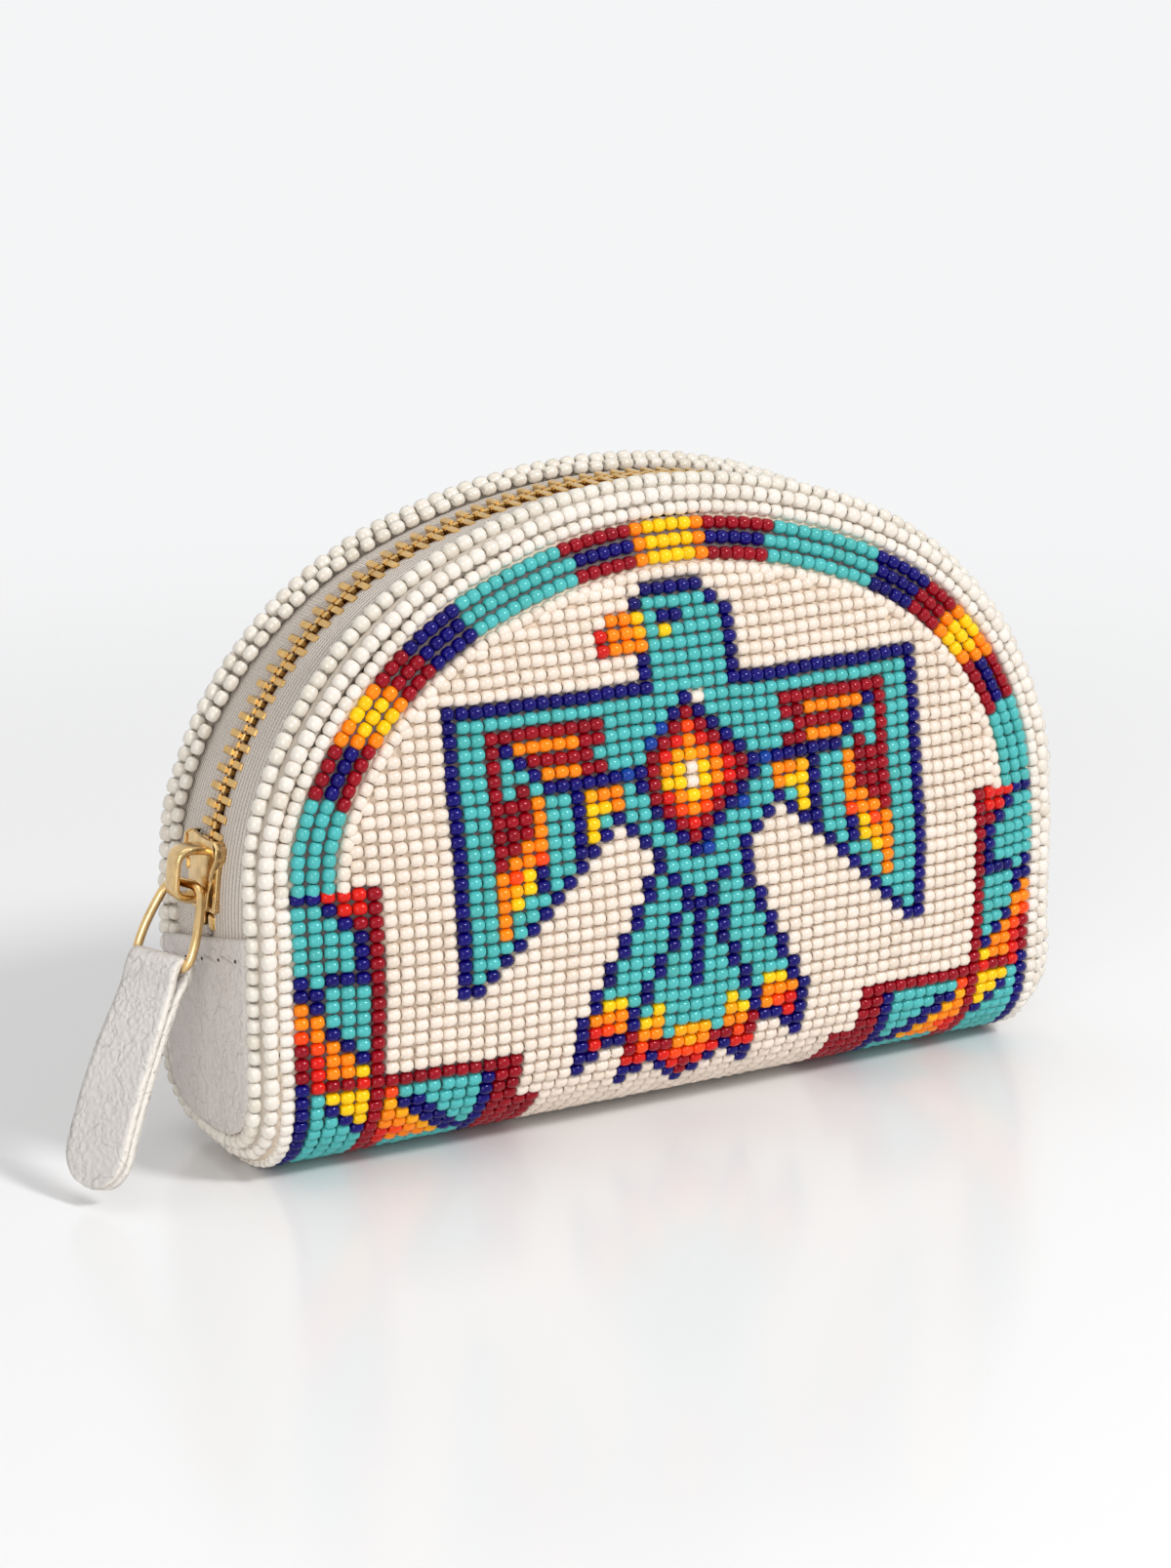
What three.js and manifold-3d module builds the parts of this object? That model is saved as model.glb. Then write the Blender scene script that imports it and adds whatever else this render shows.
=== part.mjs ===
// Beaded coin purse: a half-moon pouch with a zip over its arch.
// Millimetres, +Z up. The front faces -Y, the slider is at the -X end, the floor is z = 0.
import * as THREE from 'three';
import { mergeVertices } from 'three/addons/utils/BufferGeometryUtils.js';
import Module from 'manifold-3d';

const wasm = await Module();
wasm.setup();

// Outline of the arch, measured at the edge of the coloured band
const HALF_WIDTH = 49.6;
const CORNER_RADIUS = 38.9;
const TOP_ARC_HALF_ANGLE = THREE.MathUtils.degToRad(22.9);
const SPRING_HEIGHT = 28.5;

// Depth of the pouch from its middle plane
const RIM_HALF_DEPTH = 13.3;
const RIM_TAPER = 0.1;
const BULGE = 4.9;
const BULGE_HEIGHT = 35.7;
const BULGE_POWER = 2.8;
const BULGE_UPRIGHT_POWER = 2.4;
const FOLD_HEIGHT = 12.4;
const FOLD_POWER = 2.65;
const FLAT_HALF_DEPTH = 4.5;
const PROFILE_STEPS = 120;

// Beadwork
const BEAD_ROW_PITCH = 1.51;
const BEAD_COLUMNS = 60;
const BEAD_RADIUS = 0.8;
const BEAD_VALLEY = 0.35;
const WING_ROW_HEIGHT = 51.4;
const FIELD_GAP = 0.3;
const FIELD_THICKNESS = 0.25;
const FIELD_COLUMNS = 4;
const NARROW_COLUMNS = 2;
const CORNER_COLUMNS = 6;
const CORNER_TOP_RISE = 5.1;
const BAND_END_RISE = 5.65;
const BAND_ROWS = 3;
const BAND_STEP_BEADS = 4;
const PANEL_WALL = 1.6;
const PANEL_EDGE = 0.2;
const PANEL_TOP_MARGIN = 0.6;
const PANEL_COLUMNS = 10;
const LINING_GAP = 0.7;
const LINING_WALL = 0.6;
const LINING_DROP = 2.4;

// Beaded edge roll
const ROLL_RADIUS = 1.9;
const ROLL_OFFSET = 2.4;
const ROLL_INSET = 1.0;
const ROLL_BEAD = 2.1;
const ROLL_DIP = 0.3;
const ROLL_SIDES = 6;
const ROLL_ARCH_STEPS = 80;
const ROLL_END_STEPS = 48;
const ROLL_LENGTH_STEPS = 2000;
const FLOOR_CLEARANCE = 0.05;

// Zip
const CHAIN_OFFSET = 2.45;
const TOOTH_PITCH = 2.0;
const CHAIN_HALF_WIDTH = 2.2;
const CHAIN_HALF_HEIGHT = 0.75;
const CHAIN_SLOT = 0.65;
const TOOTH_DEPTH = 0.9;
const TAPE_THICKNESS = 0.5;
const TAPE_FLAT_EDGE = 4.4;
const TAPE_SLOPE_WIDTH = 2.0;
const TAPE_TUCK = 0.2;
const TAPE_STEP = 4;
const TOOTH_TAPER = 0.25;
const TAPE_END_HEIGHT = 21;
const CHAIN_START_HEIGHT = 29.4;
const STOP_LENGTH = 1.8;
const JOIN_GAP = 0.3;

// Slider, ring and pull tab
const SLIDER_HEIGHT = 33.5;
const SLIDER_LENGTH = 8.2;
const SLIDER_WIDTH = 6.8;
const SLIDER_PLATE = 0.7;
const SLIDER_POST = 0.8;
const POST_LENGTH = 2.2;
const FLANGE_LENGTH = 6.4;
const CHANNEL_CLEARANCE = 0.25;
const CROWN_WIDTH = 1.5;
const CROWN_LENGTH = 7.0;
const CROWN_HOLE_LENGTH = 4.0;
const CROWN_HOLE_HEIGHT = 2.3;
const CROWN_WALL = 0.6;
const CROWN_CHAMFER = 0.8;
const BAR_SHARE = 0.6;
const WIRE_RADIUS = 0.5;
const RING_TOP_WIDTH = 3.9;
const RING_FOOT_WIDTH = 7.6;
const RING_LENGTH = 9.3;
const RING_BEND = 1.2;
const BAR_SEAT = 0.9;
const HANG_TURN = THREE.MathUtils.degToRad(22);
const HANG_LEAN = THREE.MathUtils.degToRad(27);
const TAB_LENGTH = 25.4;
const TAB_NECK_WIDTH = 5.8;
const TAB_WIDTH = 8.4;
const TAB_THICKNESS = 1.9;
const TAB_NECK_LENGTH = 3.8;
const TAB_FLARE = 0.35;
const TAB_LOOP_CLEARANCE = 0.2;
const TAB_LOOP_WALL = 0.85;

// Curved outlines made of flat steps
const LOOP_SEGMENTS = 10;
const WIRE_SIDES = 8;
const BEND_STEPS = 4;

// Leather ends
const GUSSET_THICKNESS = 0.8;
const GUSSET_TOP = 25;
const GUSSET_STEPS = 16;

const colours = {
  cream: ['#f2ebe2', 0.35, 0],
  pearl: ['#f4f1ea', 0.25, 0],
  turquoise: ['#45b8b8', 0.25, 0],
  navy: ['#141a6b', 0.15, 0],
  darkRed: ['#7a0c18', 0.15, 0],
  orange: ['#ff8a0a', 0.25, 0],
  leather: ['#e9e6e1', 0.6, 0],
  cloth: ['#f1efec', 0.9, 0],
  brass: ['#b99a4c', 0.35, 1],
  gold: ['#d9b878', 0.2, 1],
};

const purse = new THREE.Group();

function addPart(name, geometry, colour, parent = purse) {
  const [tint, roughness, metalness] = colours[colour];
  const material = new THREE.MeshStandardMaterial({ color: tint, roughness, metalness });
  const mesh = new THREE.Mesh(geometry, material);
  mesh.name = name;
  parent.add(mesh);
  return mesh;
}

// Makes a geometry from triangles and turns its faces outwards
function geometryFrom(points, triangles) {
  const edgeA = new THREE.Vector3();
  let volume = 0;
  for (const [a, b, c] of triangles) {
    volume += edgeA.crossVectors(points[a], points[b]).dot(points[c]);
  }
  const index = triangles.flatMap(([a, b, c]) => (volume < 0 ? [a, c, b] : [a, b, c]));
  const geometry = new THREE.BufferGeometry().setFromPoints(points);
  geometry.setIndex(index);
  geometry.computeVertexNormals();
  return geometry;
}

// Joins rings of the same number of points into one solid, capped or closed on itself
function loft(rings, closed = false) {
  const count = rings[0].length;
  const triangles = [];
  const steps = closed ? rings.length : rings.length - 1;
  for (let j = 0; j < steps; j++) {
    const here = j * count;
    const next = ((j + 1) % rings.length) * count;
    for (let k = 0; k < count; k++) {
      const l = (k + 1) % count;
      triangles.push([here + k, here + l, next + l], [here + k, next + l, next + k]);
    }
  }
  if (!closed) {
    const last = (rings.length - 1) * count;
    for (let k = 0; k < count / 2 - 1; k++) {
      const m = count - 1 - k;
      triangles.push([k, m, m - 1], [k, m - 1, k + 1]);
      triangles.push([last + k, last + m - 1, last + m], [last + k, last + k + 1, last + m - 1]);
    }
  }
  return geometryFrom(rings.flat(), triangles);
}

// Joins an outer and an inner grid of points into one open-mouthed shell
function shell(outer, inner) {
  const width = outer[0].length;
  const points = [...outer.flat(), ...inner.flat()];
  const base = outer.length * width;
  const triangles = [];
  const grid = (rows, start, flip) => {
    for (let j = 0; j < rows.length - 1; j++) {
      for (let k = 0; k < width - 1; k++) {
        const a = start + j * width + k;
        const quad = [[a, a + 1, a + width + 1], [a, a + width + 1, a + width]];
        quad.forEach(([p, q, r]) => triangles.push(flip ? [p, r, q] : [p, q, r]));
      }
    }
  };
  grid(outer, 0, false);
  grid(inner, base, true);
  for (const [edge, flip] of [[0, true], [width - 1, false]]) {
    let i = 0;
    let j = 0;
    while (i < outer.length - 1 || j < inner.length - 1) {
      const a = i * width + edge;
      const b = base + j * width + edge;
      const outerFirst = (i + 1) * (inner.length - 1) <= (j + 1) * (outer.length - 1);
      const stepOuter = i < outer.length - 1 && (outerFirst || j === inner.length - 1);
      const third = stepOuter ? a + width : b + width;
      triangles.push(flip ? [a, third, b] : [a, b, third]);
      i += stepOuter ? 1 : 0;
      j += stepOuter ? 0 : 1;
    }
  }
  for (const [o, n, flip] of [[0, 0, false], [outer.length - 1, inner.length - 1, true]]) {
    for (let k = 0; k < width - 1; k++) {
      const a = o * width + k;
      const b = base + n * width + k;
      const quad = [[a, b, b + 1], [a, b + 1, a + 1]];
      quad.forEach(([p, q, r]) => triangles.push(flip ? [p, r, q] : [p, q, r]));
    }
  }
  return geometryFrom(points, triangles);
}

// The arch: straight sides, two corner arcs and one flatter top arc
const cornerX = HALF_WIDTH - CORNER_RADIUS;
const radiusStep = cornerX / Math.sin(TOP_ARC_HALF_ANGLE);
const topRadius = CORNER_RADIUS + radiusStep;
const topCentre = SPRING_HEIGHT - radiusStep * Math.cos(TOP_ARC_HALF_ANGLE);
const archTop = topCentre + topRadius;
const cornerSweep = Math.PI / 2 - TOP_ARC_HALF_ANGLE;

// Point, outward direction and length along a copy of the arch set out by an offset
function archLength(offset) {
  const corner = (CORNER_RADIUS + offset) * cornerSweep;
  return 2 * (corner + (topRadius + offset) * TOP_ARC_HALF_ANGLE);
}

function archPoint(offset, distance) {
  const corner = (CORNER_RADIUS + offset) * cornerSweep;
  const whole = archLength(offset);
  if (distance > whole / 2) {
    const mirrored = archPoint(offset, whole - distance);
    return { x: -mirrored.x, z: mirrored.z, nx: -mirrored.nx, nz: mirrored.nz };
  }
  if (distance < 0) {
    return { x: -HALF_WIDTH - offset, z: SPRING_HEIGHT + distance, nx: -1, nz: 0 };
  }
  if (distance < corner) {
    const angle = distance / (CORNER_RADIUS + offset);
    const radius = CORNER_RADIUS + offset;
    const [nx, nz] = [-Math.cos(angle), Math.sin(angle)];
    return { x: -cornerX + radius * nx, z: SPRING_HEIGHT + radius * nz, nx, nz };
  }
  const angle = cornerSweep + (distance - corner) / (topRadius + offset);
  const [nx, nz] = [-Math.cos(angle), Math.sin(angle)];
  return { x: (topRadius + offset) * nx, z: topCentre + (topRadius + offset) * nz, nx, nz };
}

function archHalfWidth(z, offset = 0) {
  if (z <= SPRING_HEIGHT) {
    return HALF_WIDTH + offset;
  }
  const shoulder = SPRING_HEIGHT + (CORNER_RADIUS + offset) * Math.cos(TOP_ARC_HALF_ANGLE);
  if (z <= shoulder) {
    return cornerX + Math.sqrt((CORNER_RADIUS + offset) ** 2 - (z - SPRING_HEIGHT) ** 2);
  }
  return Math.sqrt(Math.max((topRadius + offset) ** 2 - (z - topCentre) ** 2, 0));
}

// Half depth of the bead layer's middle, straight part and rounded fold
function rimHalfDepth(z) {
  return RIM_HALF_DEPTH - RIM_TAPER * Math.max(z - SPRING_HEIGHT, 0);
}

function halfDepth(x, z) {
  const across = Math.max(1 - Math.abs(x / HALF_WIDTH) ** BULGE_POWER, 0);
  const reach = archTop - BULGE_HEIGHT;
  const along = Math.max(1 - Math.abs((z - BULGE_HEIGHT) / reach) ** BULGE_UPRIGHT_POWER, 0);
  const straight = rimHalfDepth(z) + BULGE * across * along;
  const drop = Math.max((FOLD_HEIGHT - z) / (FOLD_HEIGHT - BEAD_RADIUS), 0);
  return straight * Math.max(1 - drop ** FOLD_POWER, 0) ** (1 / FOLD_POWER);
}

// Profile of the pouch at its middle, from the top of the front down to the floor
const profile = [];
for (let i = 0; i <= PROFILE_STEPS; i++) {
  const z = THREE.MathUtils.lerp(archTop, FOLD_HEIGHT, i / PROFILE_STEPS);
  profile.push({ z, s: 0 });
}
for (let i = 1; i <= PROFILE_STEPS; i++) {
  const turn = (i / PROFILE_STEPS) * Math.PI / 2;
  const drop = Math.sin(turn) ** (2 / FOLD_POWER);
  profile.push({ z: FOLD_HEIGHT - (FOLD_HEIGHT - BEAD_RADIUS) * drop, s: 0 });
}
for (let i = 1; i < profile.length; i++) {
  const [a, b] = [profile[i - 1], profile[i]];
  b.s = a.s + Math.hypot(a.z - b.z, halfDepth(0, a.z) - halfDepth(0, b.z));
}
const profileLength = profile.at(-1).s;

function heightAt(s) {
  const i = Math.max(profile.findIndex((point) => point.s >= s), 1);
  const [a, b] = [profile[i - 1], profile[i]];
  return THREE.MathUtils.lerp(a.z, b.z, (s - a.s) / (b.s - a.s));
}

const wingRowDistance = profile.find((point) => point.z <= WING_ROW_HEIGHT).s;

// Bead rows are counted down from the top row of the wings
function rowAt(z) {
  return (profile.find((point) => point.z <= z).s - wingRowDistance) / BEAD_ROW_PITCH;
}

// A point of the bead layer, set out along its normal; side is -1 in front and 1 behind
function surfacePoint(x, z, side, out) {
  const step = 0.05;
  const depth = halfDepth(x, z);
  const slopeX = (halfDepth(x + step, z) - halfDepth(x - step, z)) / (2 * step);
  const low = Math.max(z - step, BEAD_RADIUS);
  const slopeZ = (halfDepth(x, z + step) - halfDepth(x, low)) / (z + step - low);
  const normal = new THREE.Vector3(-slopeX, side, -slopeZ).normalize();
  if (depth < FLAT_HALF_DEPTH) {
    normal.set(0, 0, -1);
  }
  const height = depth < FLAT_HALF_DEPTH ? BEAD_RADIUS : z;
  return new THREE.Vector3(x, side * depth, height).addScaledVector(normal, out);
}

// Rows of points across the pouch, from the front's top edge under the fold to the back's
function wrapRows(rowGap, columns, edge, start, offsetAt) {
  const half = Math.round((profileLength - start) / rowGap);
  const rows = [];
  for (let j = 0; j <= 2 * half; j++) {
    const front = j <= half;
    const s = start + (profileLength - start) * (front ? j : 2 * half - j) / half;
    const z = heightAt(s);
    const width = archHalfWidth(z, edge);
    const row = [];
    for (let k = 0; k <= columns; k++) {
      const x = width * (2 * k / columns - 1);
      row.push(surfacePoint(x, z, front ? -1 : 1, offsetAt(j, z)));
    }
    rows.push(row);
  }
  return rows;
}

// The beaded panel: one oval folded under the pouch, with a ridge for every row of beads
const ridge = (j, z) => (j % 2 || halfDepth(0, z) < FLAT_HALF_DEPTH ? BEAD_RADIUS : BEAD_VALLEY);
const smoothRows = 3 * BEAD_ROW_PITCH;
const wrapPanel = (gap, offsetAt) => {
  return wrapRows(gap, PANEL_COLUMNS, PANEL_EDGE, PANEL_TOP_MARGIN, offsetAt);
};
const panelOuter = wrapPanel(BEAD_ROW_PITCH / 2, ridge);
const panelInner = wrapPanel(smoothRows, () => -PANEL_WALL);
addPart('beaded_panel', shell(panelOuter, panelInner), 'cream');

const liningOut = -PANEL_WALL - LINING_GAP;
const wrapLining = (out) => {
  const start = LINING_DROP + PANEL_TOP_MARGIN;
  return wrapRows(smoothRows, PANEL_COLUMNS, -LINING_DROP, start, () => out);
};
const liningOuter = wrapLining(liningOut);
const liningInner = wrapLining(liningOut - LINING_WALL);
addPart('cloth_lining', shell(liningOuter, liningInner), 'cloth');

// A field of coloured beads on the front, between two edges given in bead columns
const columnPitch = 2 * HALF_WIDTH / (BEAD_COLUMNS + 1);

function beadField(name, colour, rows, columns = FIELD_COLUMNS) {
  const top = BEAD_RADIUS + FIELD_GAP + FIELD_THICKNESS;
  const rings = rows.map(([row, left, right]) => {
    const z = heightAt(wingRowDistance + row * BEAD_ROW_PITCH);
    const at = (k, out) => {
      const column = THREE.MathUtils.lerp(left, right, k / columns);
      const x = (column - (BEAD_COLUMNS - 1) / 2) * columnPitch;
      return surfacePoint(x, z, -1, out);
    };
    const steps = Array.from({ length: columns + 1 }, (_, k) => k);
    const under = steps.toReversed().map((k) => at(k, BEAD_RADIUS + FIELD_GAP));
    return [...steps.map((k) => at(k, top)), ...under];
  });
  addPart(name, loft(rings), colour);
}

// The bird, in bead rows and columns: each edge runs straight between the rows named here
const mirror = ([row, left, right]) => [row, BEAD_COLUMNS - 1 - right, BEAD_COLUMNS - 1 - left];
const birdMiddle = (BEAD_COLUMNS - 1) / 2;
const wingTop = -0.5;
const wingTip = 21.5;
const wingBend = 6;
const wingOuter = 10.5;
const wingInner = 25.4;
const wingTipInner = 13.2;
const bodyHalf = 3;
const tailTop = 14;
const tailEnd = 30;
const tailTopHalf = 2.9;
const tailSpread = 0.42;
const chestEnd = 13.5;
const chestBend = 7;
const chestHalf = 3.7;
const chestTaper = 0.12;
const birdStep = 2;
const chestStep = 1.4;

const wing = [];
for (let row = wingTop; row <= wingTip; row += birdStep) {
  const slope = THREE.MathUtils.mapLinear(row, wingBend, wingTip, wingInner, wingTipInner);
  wing.push([row, wingOuter, Math.min(wingInner, slope)]);
}
const head = [];
for (const [row, half] of [[-7.5, 2], [-6, bodyHalf], [-3, bodyHalf], [-0.9, bodyHalf]]) {
  head.push([row, birdMiddle - half, birdMiddle + half]);
}
const tail = [];
for (let row = tailTop; row <= tailEnd; row += birdStep) {
  const half = tailTopHalf + (row - tailTop) * tailSpread;
  tail.push([row, birdMiddle - half, birdMiddle + half]);
}
const chest = [];
for (let row = wingTop; row <= chestEnd; row += chestStep) {
  const half = chestHalf - Math.max(row - chestBend, 0) * chestTaper;
  chest.push([row, birdMiddle - half, birdMiddle + half]);
}
beadField('wing_beads_left', 'turquoise', wing);
beadField('wing_beads_right', 'turquoise', wing.map(mirror));
beadField('head_beads', 'turquoise', head, NARROW_COLUMNS);
beadField('chest_beads', 'darkRed', chest, NARROW_COLUMNS);
beadField('tail_beads', 'navy', tail);

// The corner figures: an upright arm below the band and a longer one along the fold
const cornerTop = rowAt(SPRING_HEIGHT + CORNER_TOP_RISE);
const cornerEdge = 0.2;
const uprightRows = 15;
const uprightEnd = 5.5;
const levelRows = 6.7;
const levelEnd = 15.5;
const armGap = 0.2;
const corner = [];
for (const share of [0, 0.3, 0.6, 1]) {
  corner.push([cornerTop + uprightRows * share, cornerEdge, uprightEnd]);
}
for (const share of [0, 0.3, 0.6, 1]) {
  corner.push([cornerTop + uprightRows + armGap + levelRows * share, cornerEdge, levelEnd]);
}
beadField('corner_beads_left', 'turquoise', corner, CORNER_COLUMNS);
beadField('corner_beads_right', 'turquoise', corner.map(mirror), CORNER_COLUMNS);

// The coloured band that follows the arch, as fields of one colour each
const bandFields = [
  ['orange', 3], ['darkRed', 6], ['turquoise', 10], ['navy', 5], ['darkRed', 3],
  ['orange', 5], ['darkRed', 5], ['turquoise', 7],
];
const bandMiddle = archLength(0) / 2;
const bandBeads = bandFields.reduce((sum, [, beads]) => sum + beads, 0);
const bandPitch = (bandMiddle - BAND_END_RISE) / bandBeads;
const bandField = (name, colour, from, to) => {
  const rings = [];
  const steps = Math.max(2, Math.ceil((to - from) / (bandPitch * BAND_STEP_BEADS)));
  for (let j = 0; j <= steps; j++) {
    const distance = THREE.MathUtils.lerp(from + FIELD_GAP, to - FIELD_GAP, j / steps);
    const at = (k, out) => {
      const inward = -BEAD_ROW_PITCH * BAND_ROWS * k;
      const { x, z } = archPoint(inward, distance * archLength(inward) / archLength(0));
      return surfacePoint(x, z, -1, out);
    };
    const shares = [0, 0.5, 1];
    const top = BEAD_RADIUS + FIELD_GAP + FIELD_THICKNESS;
    const under = shares.toReversed().map((k) => at(k, BEAD_RADIUS + FIELD_GAP));
    rings.push([...shares.map((k) => at(k, top)), ...under]);
  }
  addPart(name, loft(rings), colour);
};
let bandFrom = 0;
bandFields.forEach(([colour, beads], i) => {
  const bandTo = bandFrom + beads * bandPitch;
  if (i === 0) {
    bandField('band_beads_middle', colour, bandMiddle - bandTo, bandMiddle + bandTo);
  } else {
    bandField(`band_beads_left_${i}`, colour, bandMiddle - bandTo, bandMiddle - bandFrom);
    bandField(`band_beads_right_${i}`, colour, bandMiddle + bandFrom, bandMiddle + bandTo);
  }
  bandFrom = bandTo;
});

// The beaded roll round the whole edge: front arch, round one end, back arch, round the other
const rollReach = ROLL_RADIUS + FLOOR_CLEARANCE;
const rollPath = [];
const rollLength = archLength(ROLL_OFFSET);
const rollSideDepth = RIM_HALF_DEPTH - ROLL_INSET;
const endPoint = (turn) => {
  const [c, s] = [Math.cos(turn), Math.sin(turn)];
  const y = rollSideDepth * Math.sign(c) * Math.abs(c) ** (2 / FOLD_POWER);
  const z = FOLD_HEIGHT - (FOLD_HEIGHT - rollReach) * s ** (2 / FOLD_POWER);
  return new THREE.Vector3(0, y, z);
};
const halfLoop = (side) => {
  const half = [];
  for (let i = 0; i <= ROLL_ARCH_STEPS; i++) {
    const { x, z } = archPoint(ROLL_OFFSET, rollLength * i / ROLL_ARCH_STEPS);
    half.push(new THREE.Vector3(-side * x, side * (rimHalfDepth(z) - ROLL_INSET), z));
  }
  for (let i = 0; i <= ROLL_END_STEPS; i++) {
    const end = endPoint(Math.PI * i / ROLL_END_STEPS);
    half.push(new THREE.Vector3(-side * (HALF_WIDTH + ROLL_OFFSET), side * end.y, end.z));
  }
  return half;
};
rollPath.push(...halfLoop(-1), ...halfLoop(1));
const rollCurve = new THREE.CatmullRomCurve3(rollPath, true);
rollCurve.arcLengthDivisions = ROLL_LENGTH_STEPS;
const rollBeads = Math.round(rollCurve.getLength() / ROLL_BEAD);
const rollRings = [];
for (let i = 0; i < rollBeads * 2; i++) {
  const share = i / (rollBeads * 2);
  const centre = rollCurve.getPointAt(share);
  const tangent = rollCurve.getTangentAt(share);
  const hub = new THREE.Vector3(0, 0, Math.min(centre.z, SPRING_HEIGHT));
  const out = centre.clone().sub(hub).projectOnPlane(tangent).normalize();
  const side = new THREE.Vector3().crossVectors(tangent, out);
  const radius = i % 2 ? ROLL_RADIUS : ROLL_RADIUS - ROLL_DIP;
  const ring = [];
  for (let k = 0; k < ROLL_SIDES; k++) {
    const turn = (k + 0.5) / ROLL_SIDES * 2 * Math.PI;
    const at = centre.clone().addScaledVector(out, radius * Math.cos(turn));
    ring.push(at.addScaledVector(side, radius * Math.sin(turn)));
  }
  rollRings.push(ring);
}
addPart('beaded_edge_roll', loft(rollRings, true), 'pearl');

// Places a section, given as [offset, y] pairs, along the zip's path
function sweepZip(from, to, step, sectionAt) {
  const rings = [];
  const steps = Math.round((to - from) / step);
  for (let i = 0; i <= steps; i++) {
    const distance = THREE.MathUtils.lerp(from, to, i / steps);
    const { x, z, nx, nz } = archPoint(CHAIN_OFFSET, distance);
    const section = sectionAt(i, z);
    rings.push(section.map(([out, y]) => new THREE.Vector3(x + nx * out, y, z + nz * out)));
  }
  return rings;
}

const zipLength = archLength(CHAIN_OFFSET);
const tapeFrom = TAPE_END_HEIGHT - SPRING_HEIGHT;
const chainFrom = CHAIN_START_HEIGHT - SPRING_HEIGHT;
for (const [word, side] of [['front', -1], ['back', 1]]) {
  const tapeSection = (i, z) => {
    const rollInner = rimHalfDepth(z) - ROLL_INSET - ROLL_RADIUS;
    const under = ROLL_OFFSET - ROLL_RADIUS - CHAIN_OFFSET - JOIN_GAP;
    const flatEdge = Math.min(TAPE_FLAT_EDGE, rollInner - TAPE_SLOPE_WIDTH);
    const line = [
      [TAPE_THICKNESS / 2, CHAIN_HALF_WIDTH + JOIN_GAP / 2],
      [TAPE_THICKNESS / 2, flatEdge],
      [under, rollInner + TAPE_TUCK],
      [under, rimHalfDepth(z) - PANEL_WALL - JOIN_GAP],
    ];
    const inner = line.toReversed().map(([out, y]) => [out - TAPE_THICKNESS, y]);
    return [...line, ...inner].map(([out, y]) => [out, side * y]);
  };
  const tape = sweepZip(tapeFrom, zipLength - tapeFrom, TAPE_STEP, tapeSection);
  addPart(`zip_tape_${word}`, loft(tape), 'cloth');
  const toothSection = (i) => {
    const peak = (i + (side > 0 ? 1 : 0)) % 2;
    const near = CHAIN_SLOT + (peak ? 0 : TOOTH_DEPTH);
    const high = CHAIN_HALF_HEIGHT - (peak ? 0 : TOOTH_TAPER);
    const box = [[high, near], [high, CHAIN_HALF_WIDTH], [-high, CHAIN_HALF_WIDTH], [-high, near]];
    return box.map(([out, y]) => [out, side * y]);
  };
  const teeth = sweepZip(chainFrom, zipLength - chainFrom, TOOTH_PITCH / 2, toothSection);
  addPart(`zip_teeth_${word}`, loft(teeth), 'brass');
}

// Stops: one on each tape below the slider, and one across both tapes at the far end
const stopHeight = CHAIN_START_HEIGHT - JOIN_GAP - STOP_LENGTH / 2;
const stopX = HALF_WIDTH + CHAIN_OFFSET;
for (const [word, side] of [['front', -1], ['back', 1]]) {
  const width = CHAIN_HALF_WIDTH - CHAIN_SLOT;
  const geometry = new THREE.BoxGeometry(2 * CHAIN_HALF_HEIGHT, width, STOP_LENGTH);
  const stop = addPart(`top_stop_${word}`, geometry, 'brass');
  stop.position.set(-stopX, side * (CHAIN_SLOT + width / 2), stopHeight);
}
const bottomStop = new THREE.BoxGeometry(2 * CHAIN_HALF_HEIGHT, 2 * CHAIN_HALF_WIDTH, STOP_LENGTH);
addPart('bottom_stop', bottomStop, 'brass').position.set(stopX, 0, stopHeight);

// Leather end pieces inside the rounded ends of the roll
const gussetHalf = rollSideDepth - ROLL_RADIUS - JOIN_GAP;
const gussetFoot = rollReach + ROLL_RADIUS + JOIN_GAP;
const gussetShape = new THREE.Shape();
gussetShape.moveTo(gussetHalf, GUSSET_TOP);
for (let i = 0; i <= GUSSET_STEPS; i++) {
  const turn = Math.PI * i / GUSSET_STEPS;
  const [c, s] = [Math.cos(turn), Math.sin(turn)];
  const y = gussetHalf * Math.sign(c) * Math.abs(c) ** (2 / FOLD_POWER);
  gussetShape.lineTo(y, FOLD_HEIGHT - (FOLD_HEIGHT - gussetFoot) * s ** (2 / FOLD_POWER));
}
gussetShape.lineTo(-gussetHalf, GUSSET_TOP);
const gussetInner = HALF_WIDTH + CHAIN_OFFSET + TAPE_THICKNESS / 2 + JOIN_GAP / 2;
for (const [word, side] of [['left', -1], ['right', 1]]) {
  const geometry = new THREE.ExtrudeGeometry(gussetShape, {
    depth: GUSSET_THICKNESS, bevelEnabled: false,
  });
  geometry.rotateX(Math.PI / 2);
  geometry.rotateZ(Math.PI / 2);
  const inner = side > 0 ? gussetInner : -gussetInner - GUSSET_THICKNESS;
  addPart(`leather_end_${word}`, geometry, 'leather').position.x = inner;
}

// Joins closed meshes into one solid
function unite(geometries) {
  const solids = geometries.map((source) => {
    const bare = source.clone();
    bare.deleteAttribute('normal');
    bare.deleteAttribute('uv');
    const merged = mergeVertices(bare, 1e-4);
    const vertProperties = new Float32Array(merged.attributes.position.array);
    const triVerts = new Uint32Array(merged.index.array);
    return new wasm.Manifold(new wasm.Mesh({ numProp: 3, vertProperties, triVerts }));
  });
  const mesh = solids.reduce((sum, solid) => sum.add(solid)).getMesh();
  const geometry = new THREE.BufferGeometry();
  geometry.setAttribute('position', new THREE.BufferAttribute(mesh.vertProperties, 3));
  geometry.setIndex(new THREE.BufferAttribute(mesh.triVerts, 1));
  geometry.computeVertexNormals();
  return geometry;
}

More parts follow.
